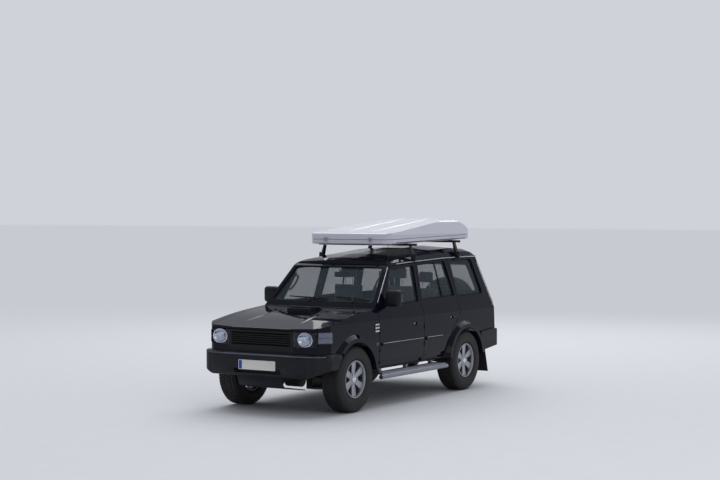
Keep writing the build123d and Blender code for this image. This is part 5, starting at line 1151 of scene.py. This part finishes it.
# %% Sleeping mat in the shell
form = copy_of("sleeping_mat")
bmesh.ops.dissolve_limit(form, angle_limit=0.02, verts=form.verts, edges=form.edges)
form.normal_update()
for vert in form.verts:
    vert.co -= vert.normal * 0.014
quilting = channels(x=(-0.29, 0.0, 0.29), y=[1.5 + 0.3 * i for i in range(6)])
pad("sleeping_mat_pad", form, quilting, 0.016, 0.008, replaces=["sleeping_mat"])
print("mat done")

# %% [markdown]
# ## Inside the cabin
# Through the windscreen one sees the hood over the dials, the vents, a mirror on its
# stalk and a grab handle on the pillar. The doors have trim cards with an armrest.

# %% Dashboard, mirror and handles
HANDLE = [
    (0.628, 0.79, 1.36), (0.602, 0.81, 1.375), (0.59, 0.87, 1.43),
    (0.585, 0.92, 1.485), (0.598, 0.95, 1.52), (0.622, 0.955, 1.53),
]
GAITER = [(0.0, 0.0), (0.0, 0.05), (0.012, 0.045), (0.03, 0.022), (0.05, 0.012), (0.05, 0.0)]
hoods = [((0.19, 0.86, 1.128), (0.55, 1.02, 1.205), 0.03, 4), ((-0.14, 0.72, 1.168), (0.14, 0.86, 1.225), 0.022, 4)]
blocks("dial_hoods", "dash_plastic", "car", hoods)
vents = []
for z in (1.06, 1.076, 1.092, 1.108):
    vents += row((-0.62, -0.16, 0.16, 0.64), 0.05, (0.9, z - 0.003), (0.95, z + 0.003), 0.0012, 2)
blocks("dash_vents", "seal_rubber", "car", vents)
form = bmesh.new()
sweep(form, round_section(0.008), [at(0, 0.985, 1.612), at(0, 1.03, 1.585), at(0, 1.05, 1.56)], up=(1, 0, 0))
blocks("cabin_mirror", "black_plastic", "car", [((-0.115, 1.035, 1.522), (0.115, 1.062, 1.588), 0.013, 4)], form)
blocks("cabin_mirror_glass", "mirror_bright", "car", [((-0.106, 1.0615, 1.530), (0.106, 1.064, 1.580), 0.001, 2)])
for side, way in SIDES:
    path = [at(x * way, y, z) for x, y, z in HANDLE]
    swept("grab_handle_" + side, "dash_plastic", "car", round_section(0.012), path, up=(0, -1, 1))
form = bmesh.new()
for x, y, tall in ((0.0, 1.02, 0.2), (0.05, 1.12, 0.13)):
    sweep(form, round_section(0.009), [at(x, y + 0.03, 0.84), at(x, y, 0.84 + tall)], up=(0, 1, 0))
    brick(form, at(x - 0.022, y - 0.022, 0.83 + tall), at(x + 0.022, y + 0.022, 0.878 + tall), 0.014, 4)
    lathe(form, GAITER, shift(x, y + 0.025, 0.849) @ TO_TOP, steps=20)
piece("gear_levers", form, "dash_plastic", "car")
print("cabin fittings", 7)

# %% Door cards and armrests
CARDS = [  # door, from y, to y, foot, top
    ("front", 0.72, 1.52, 0.70, 1.16),
    ("rear", 1.74, 2.18, 0.86, 1.17),
]
for name, start, end, foot, top in CARDS:
    panel = Panels(name + "_door_left")
    inner = min(panel.hit(at(0.2, y, z), (1, 0, 0)).x for y in (start, end) for z in (foot, top))
    for side, way in SIDES:
        card = ((inner * way, start, foot), ((inner - 0.007) * way, end, top), 0.003, 2)
        low = ((inner - 0.005) * way, start + 0.12, foot + 0.24)
        high = ((inner - 0.045) * way, end - 0.05, foot + 0.285)
        door = "%s_door_%s" % (name, side)
        blocks("%s_door_card_%s" % (name, side), "dash_plastic", door, [card, (low, high, 0.014, 4)])
    print(name, "card inner face", round(inner, 3))

# %% [markdown]
# ## Tail fittings
# The tail has stacked lamps in the corners, a blank plate on the bumper, a wiper, a high
# brake lamp and a pull handle on the side away from the hinges.

# %% Rear lamps, plate and wiper
REAR_CELLS = [  # name, foot, top, finish
    ("amber", 1.006, 1.078, "cell_amber"),
    ("red", 0.918, 1.000, "lamp_red"),
    ("clear", 0.846, 0.912, "lamp_clear"),
]
for side, way in SIDES:
    for label, low, high, finish in REAR_CELLS:
        cell = ((0.706 * way, 3.560, low), (0.822 * way, 3.5725, high), 0.004, 3)
        blocks("rear_lamp_%s_%s" % (label, side), finish, "car", [cell], slot="lamp_red")
blocks("rear_plate_holder", "black_plastic", "car", [((-0.27, 3.694, 0.516), (0.27, 3.702, 0.640), 0.003, 2)])
piece("rear_plate", plate_form(3.7045, 0.578, True), "plate_pale", "car")
tail_panel = Panels("tailgate")
pull = row([0], 0.075, (-0.002, -0.03), (0.006, 0.03), 0.004, 3)
pull += row([0], 0.062, (0.012, -0.011), (0.026, 0.011), 0.005, 3)
pull += row((-0.052, 0.052), 0.01, (0.004, -0.008), (0.018, 0.008), 0.003, 2)
blocks("tailgate_handle", "black_plastic", "tailgate", pull, base=tail_panel.back(0.56, 0.99))
strip = row([0], 0.12, (-0.002, -0.010), (0.012, 0.010), 0.004, 3)
blocks("high_brake_lamp", "lamp_red", "tailgate", strip, base=tail_panel.back(0, 1.668))
print("tail fittings", 10)

# %% [markdown]
# ## Side steps
# The step is a ribbed grey board with a bright tube along its outer edge. The ribs are
# shallow bars across the tread, close enough to grip a shoe.

# %% Step ribs and tube ends
step_panel = Panels("side_steps")
STEP_PLUG = [(-0.002, 0.0), (-0.002, 0.0268), (0.004, 0.0262), (0.009, 0.02), (0.011, 0.0)]
for side, way in SIDES:
    tops = [step_panel.top(x * way, 1.3) for x in (0.715, 0.735, 0.755, 0.775, 0.795, 0.815)]
    ribs = [[at(spot.x, y, spot.z) for y in (0.66, 1.4, 2.09)] for spot in tops]
    swept("step_ribs_" + side, "step_alloy", "car", flat_section(0.009, 0.004, 0.5), *ribs)
    plugs = [shift(0.858 * way, y, 0.365) @ turn for y, turn in ((0.588, TO_FRONT), (2.162, TO_BACK))]
    turned("step_plugs_" + side, "black_plastic", "car", STEP_PLUG, *plugs)
print("step ribs", 12)

# %% [markdown]
# ## Under the bonnet
# The engine block is a CAD solid. On top of it come a ribbed cover, a finned cooler below
# the scoop, and on the trays beside it a battery, a bottle and the air filter with its duct.

# %% Engine bay pieces
cover = row([0], 0.13, (-0.28, 0.955), (0.0, 1.020), 0.016, 3)
cover += row([-0.09 + 0.03 * i for i in range(7)], 0.005, (-0.25, 1.018), (-0.04, 1.026), 0.002, 2)
blocks("engine_cover", "black_plastic", "car", cover)
form = bmesh.new()
CAP_AND_NECK = (
    [(1.012, 0.0), (1.012, 0.026), (1.034, 0.026), (1.04, 0.022), (1.04, 0.0)],
    [(0.94, 0.0), (0.94, 0.03), (1.014, 0.024), (1.014, 0.0)],
)
for profile in CAP_AND_NECK:
    lathe(form, profile, shift(0.19, -0.2, 0) @ TO_TOP, steps=20)
piece("oil_filler", form, "seal_rubber", "car")
cooler = row([0], 0.17, (0.055, 1.030), (0.285, 1.036), 0.002, 2)
cooler += row([-0.162 + 0.019 * i for i in range(18)], 0.0025, (0.06, 1.034), (0.28, 1.075), 0.0012, 1)
cooler += row((-0.19, 0.19), 0.022, (0.05, 1.020), (0.29, 1.082), 0.014, 3)
blocks("intake_cooler", "bare_alloy", "car", cooler)
legs = [[at(x, y, 0.93), at(x, y, 1.032)] for y in (0.08, 0.26) for x in (-0.12, 0.12)]
swept("cooler_legs", "black_metal", "car", round_section(0.008), *legs, up=(0, 1, 0))
form = bmesh.new()
for x in (0.52, 0.65):
    lathe(form, [(0.893, 0.0), (0.893, 0.011), (0.91, 0.009), (0.912, 0.0)], shift(x, -0.5, 0) @ TO_TOP, steps=16)
case = row([0.585], 0.115, (-0.55, 0.712), (-0.37, 0.895), 0.006, 2)
case += row([0.585], 0.121, (-0.47, 0.894), (-0.45, 0.901), 0.002, 2)
blocks("battery", "black_plastic", "car", case, form)
blocks("washer_bottle", "shell_white", "car", [((-0.70, -0.56, 0.712), (-0.52, -0.42, 0.930), 0.022, 4)])
form = bmesh.new()
lathe(form, [(0.928, 0.0), (0.928, 0.03), (0.95, 0.028), (0.953, 0.0)], shift(-0.61, -0.49, 0) @ TO_TOP, steps=20)
case = row([-0.585], 0.135, (0.09, 0.885), (0.33, 1.02), 0.02, 4)
case += row([-0.585], 0.14, (0.085, 0.945), (0.335, 0.957), 0.003, 2)
blocks("air_filter_box", "black_plastic", "car", case, form)
form = bmesh.new()
duct = [(-0.47, 0.20, 0.97), (-0.43, 0.19, 1.085), (-0.38, 0.185, 1.09), (-0.30, 0.18, 1.055), (-0.21, 0.175, 1.052)]
sweep(form, round_section(0.026, 16), [at(*p) for p in duct], up=(0, 1, 0))
hose = [(0.14, -0.527, 0.915), (0.14, -0.49, 0.945), (0.13, -0.44, 0.955), (0.12, -0.395, 0.935), (0.12, -0.37, 0.90)]
sweep(form, round_section(0.019, 14), [at(*p) for p in hose], up=(1, 0, 0))
piece("bay_hoses", form, "seal_rubber", "car")
print("bay pieces", 8)

# %% [markdown]
# ## Springs, exhaust and rear wiper
# Coil springs stand round the rear bump stops. Each is one round section carried along a
# helix. The tailpipe ends in a plain hollow tip, and the rear window has its own wiper.

# %% Coils, tip and wiper
COIL_RADIUS, COIL_WIRE, COIL_TURNS = 0.06, 0.0065, 5
TIP = [
    (-0.06, 0.0225), (-0.06, 0.0262), (0.0, 0.0268), (0.016, 0.0268),
    (0.017, 0.0255), (0.016, 0.0245), (-0.055, 0.0232), (-0.06, 0.0225),
]
coils = []
for side, way in SIDES:
    helix = []
    for index in range(COIL_TURNS * 16 + 1):
        turn = math.tau * index / 16
        level = 0.452 + 0.118 * index / (COIL_TURNS * 16)
        helix.append(at(0.355 * way + COIL_RADIUS * math.cos(turn), 2.725 + COIL_RADIUS * math.sin(turn), level))
    coils.append(helix)
swept("rear_coils", "black_metal", "car", round_section(COIL_WIRE, 8), *coils)
turned("exhaust_tip", "exhaust_steel", "car", TIP, shift(-0.47, 3.638, 0.474) @ TO_BACK, steps=28)
tail_glass = Panels("tailgate_glass", "tailgate")
form = bmesh.new()
arm = [tail_glass.back(x, z, lift) for x, z, lift in ((0.36, 1.222, 0.014), (0.28, 1.258, 0.026), (0.14, 1.300, 0.022))]
blade = [tail_glass.back(x, z, 0.014) for x, z in ((0.36, 1.298), (0.14, 1.300), (-0.08, 1.298))]
lip = [tail_glass.back(x, 1.299, 0.001) for x in (0.37, 0.14, -0.09)]
for section, path in (((0.016, 0.008, 0.6), arm), ((0.010, 0.008, 0.5), blade), ((0.006, 0.014, 0.3), lip)):
    sweep(form, flat_section(*section), path, up=(0, 1, 0.4))
spindle = Matrix.Translation(tail_glass.back(0.36, 1.222)) @ TO_BACK
lathe(form, [(0.0, 0.0), (0.0, 0.019), (0.018, 0.017), (0.024, 0.012), (0.024, 0.0)], spindle, steps=20)
piece("rear_wiper", form, "seal_rubber", "tailgate")
print("coils", len(coils))

# %% [markdown]
# ## Bonnet lines
# Pressed lines catch the light along a dark panel. Two soft ridges run down the bonnet
# from beside the scoop. They are low swept sections in body paint that fade at the ends.

# %% Pressed lines
RIDGE = [(-0.045, 0), (0.045, 0), (0.032, 0.0012), (0.016, 0.003), (0.0, 0.0038), (-0.016, 0.003), (-0.032, 0.0012)]
spots = [(0.39 - 0.05 * i, -0.0048 + 0.0040 * math.sin(math.pi * i / 19)) for i in range(20)]
ridges = [[bonnet_panel.top((0.30 + 0.11 * (0.4 - y)) * way, y, sunk) for y, sunk in spots] for side, way in SIDES]
swept("bonnet_ridges", "body_paint", "bonnet", RIDGE, *ridges, smooth=170)
print("ridges", len(ridges))

# %% [markdown]
# ## Camera, floor and light
# The camera stands where the photographer stood: about 20 m away at eye height above
# slightly lower ground, with a short telephoto lens. The car stands on a pale floor.

# %% Camera
CAMERA_PLACE = (10.499, -17.0255, 2.378)
CAMERA_TURN = 31.826
CAMERA_DROP = 1.153
CAMERA_LENS = 78.38
camera_data = bpy.data.cameras.new("camera")
camera_data.lens = CAMERA_LENS
camera_data.clip_end = 500
camera = link("camera", camera_data)
camera.location = CAMERA_PLACE
camera.rotation_euler = (math.radians(90 - CAMERA_DROP), 0, math.radians(CAMERA_TURN))
bpy.context.scene.camera = camera
print("camera at", CAMERA_PLACE)

# %% Floor and light
FLOOR_HALF = 150
FLOOR_TONES = colour(0.64, 0.65, 0.67), colour(0.655, 0.665, 0.685)
SKY, PALE = colour(0.74, 0.77, 0.84), colour(0.63, 0.64, 0.70)  # the light, and what the camera sees
LAMPS = [  # name, place, size, power
    ("sky_behind", (-3.0, 9.0, 9.0), 9.0, 300),
    ("key_left", (9.0, -7.0, 7.5), 7.0, 130),
]


def lamp(name, kind, aim, energy):
    """A new lamp that looks along a direction."""
    data = bpy.data.lights.new(name, kind)
    data.energy = energy
    made = link(name, data)
    made.rotation_euler = Vector(aim).to_track_quat("-Z", "Y").to_euler()
    return made


ground = Finish("floor", roughness=0.9, specular_ior_level=0.1)
ground.set(base_color=blend(ground, clamp(noise(ground, 4, 5), 0.3, 0.7), *FLOOR_TONES))
form = bmesh.new()
bmesh.ops.create_grid(form, x_segments=1, y_segments=1, size=FLOOR_HALF)
floor = link("floor", mesh_of("floor", form))
floor.data.materials.append(ground.material)
for name, place, size, power in LAMPS:
    made = lamp(name, "AREA", Vector((0, 0, 0.9)) - Vector(place), power)
    made.location, made.data.size = place, size
lamp("soft_sun", "SUN", (0.25, -0.55, -1), 1.55).data.angle = math.radians(70)

world = bpy.data.worlds.new("sky")
bpy.context.scene.world = world
world.use_nodes = True
tree = world.node_tree
sky = tree.nodes["Background"]
pale, seen, either = (tree.nodes.new("ShaderNode" + kind) for kind in ("Background", "LightPath", "MixShader"))
sky.inputs["Color"].default_value, sky.inputs["Strength"].default_value = SKY, 0.6
pale.inputs["Color"].default_value = PALE
for output, socket in (
    (seen.outputs["Is Camera Ray"], either.inputs["Fac"]), (sky.outputs[0], either.inputs[1]),
    (pale.outputs[0], either.inputs[2]), (either.outputs[0], tree.nodes["World Output"].inputs["Surface"]),
):
    tree.links.new(output, socket)
bpy.context.scene.view_settings.view_transform = "Standard"
print("lamps", len(LAMPS))
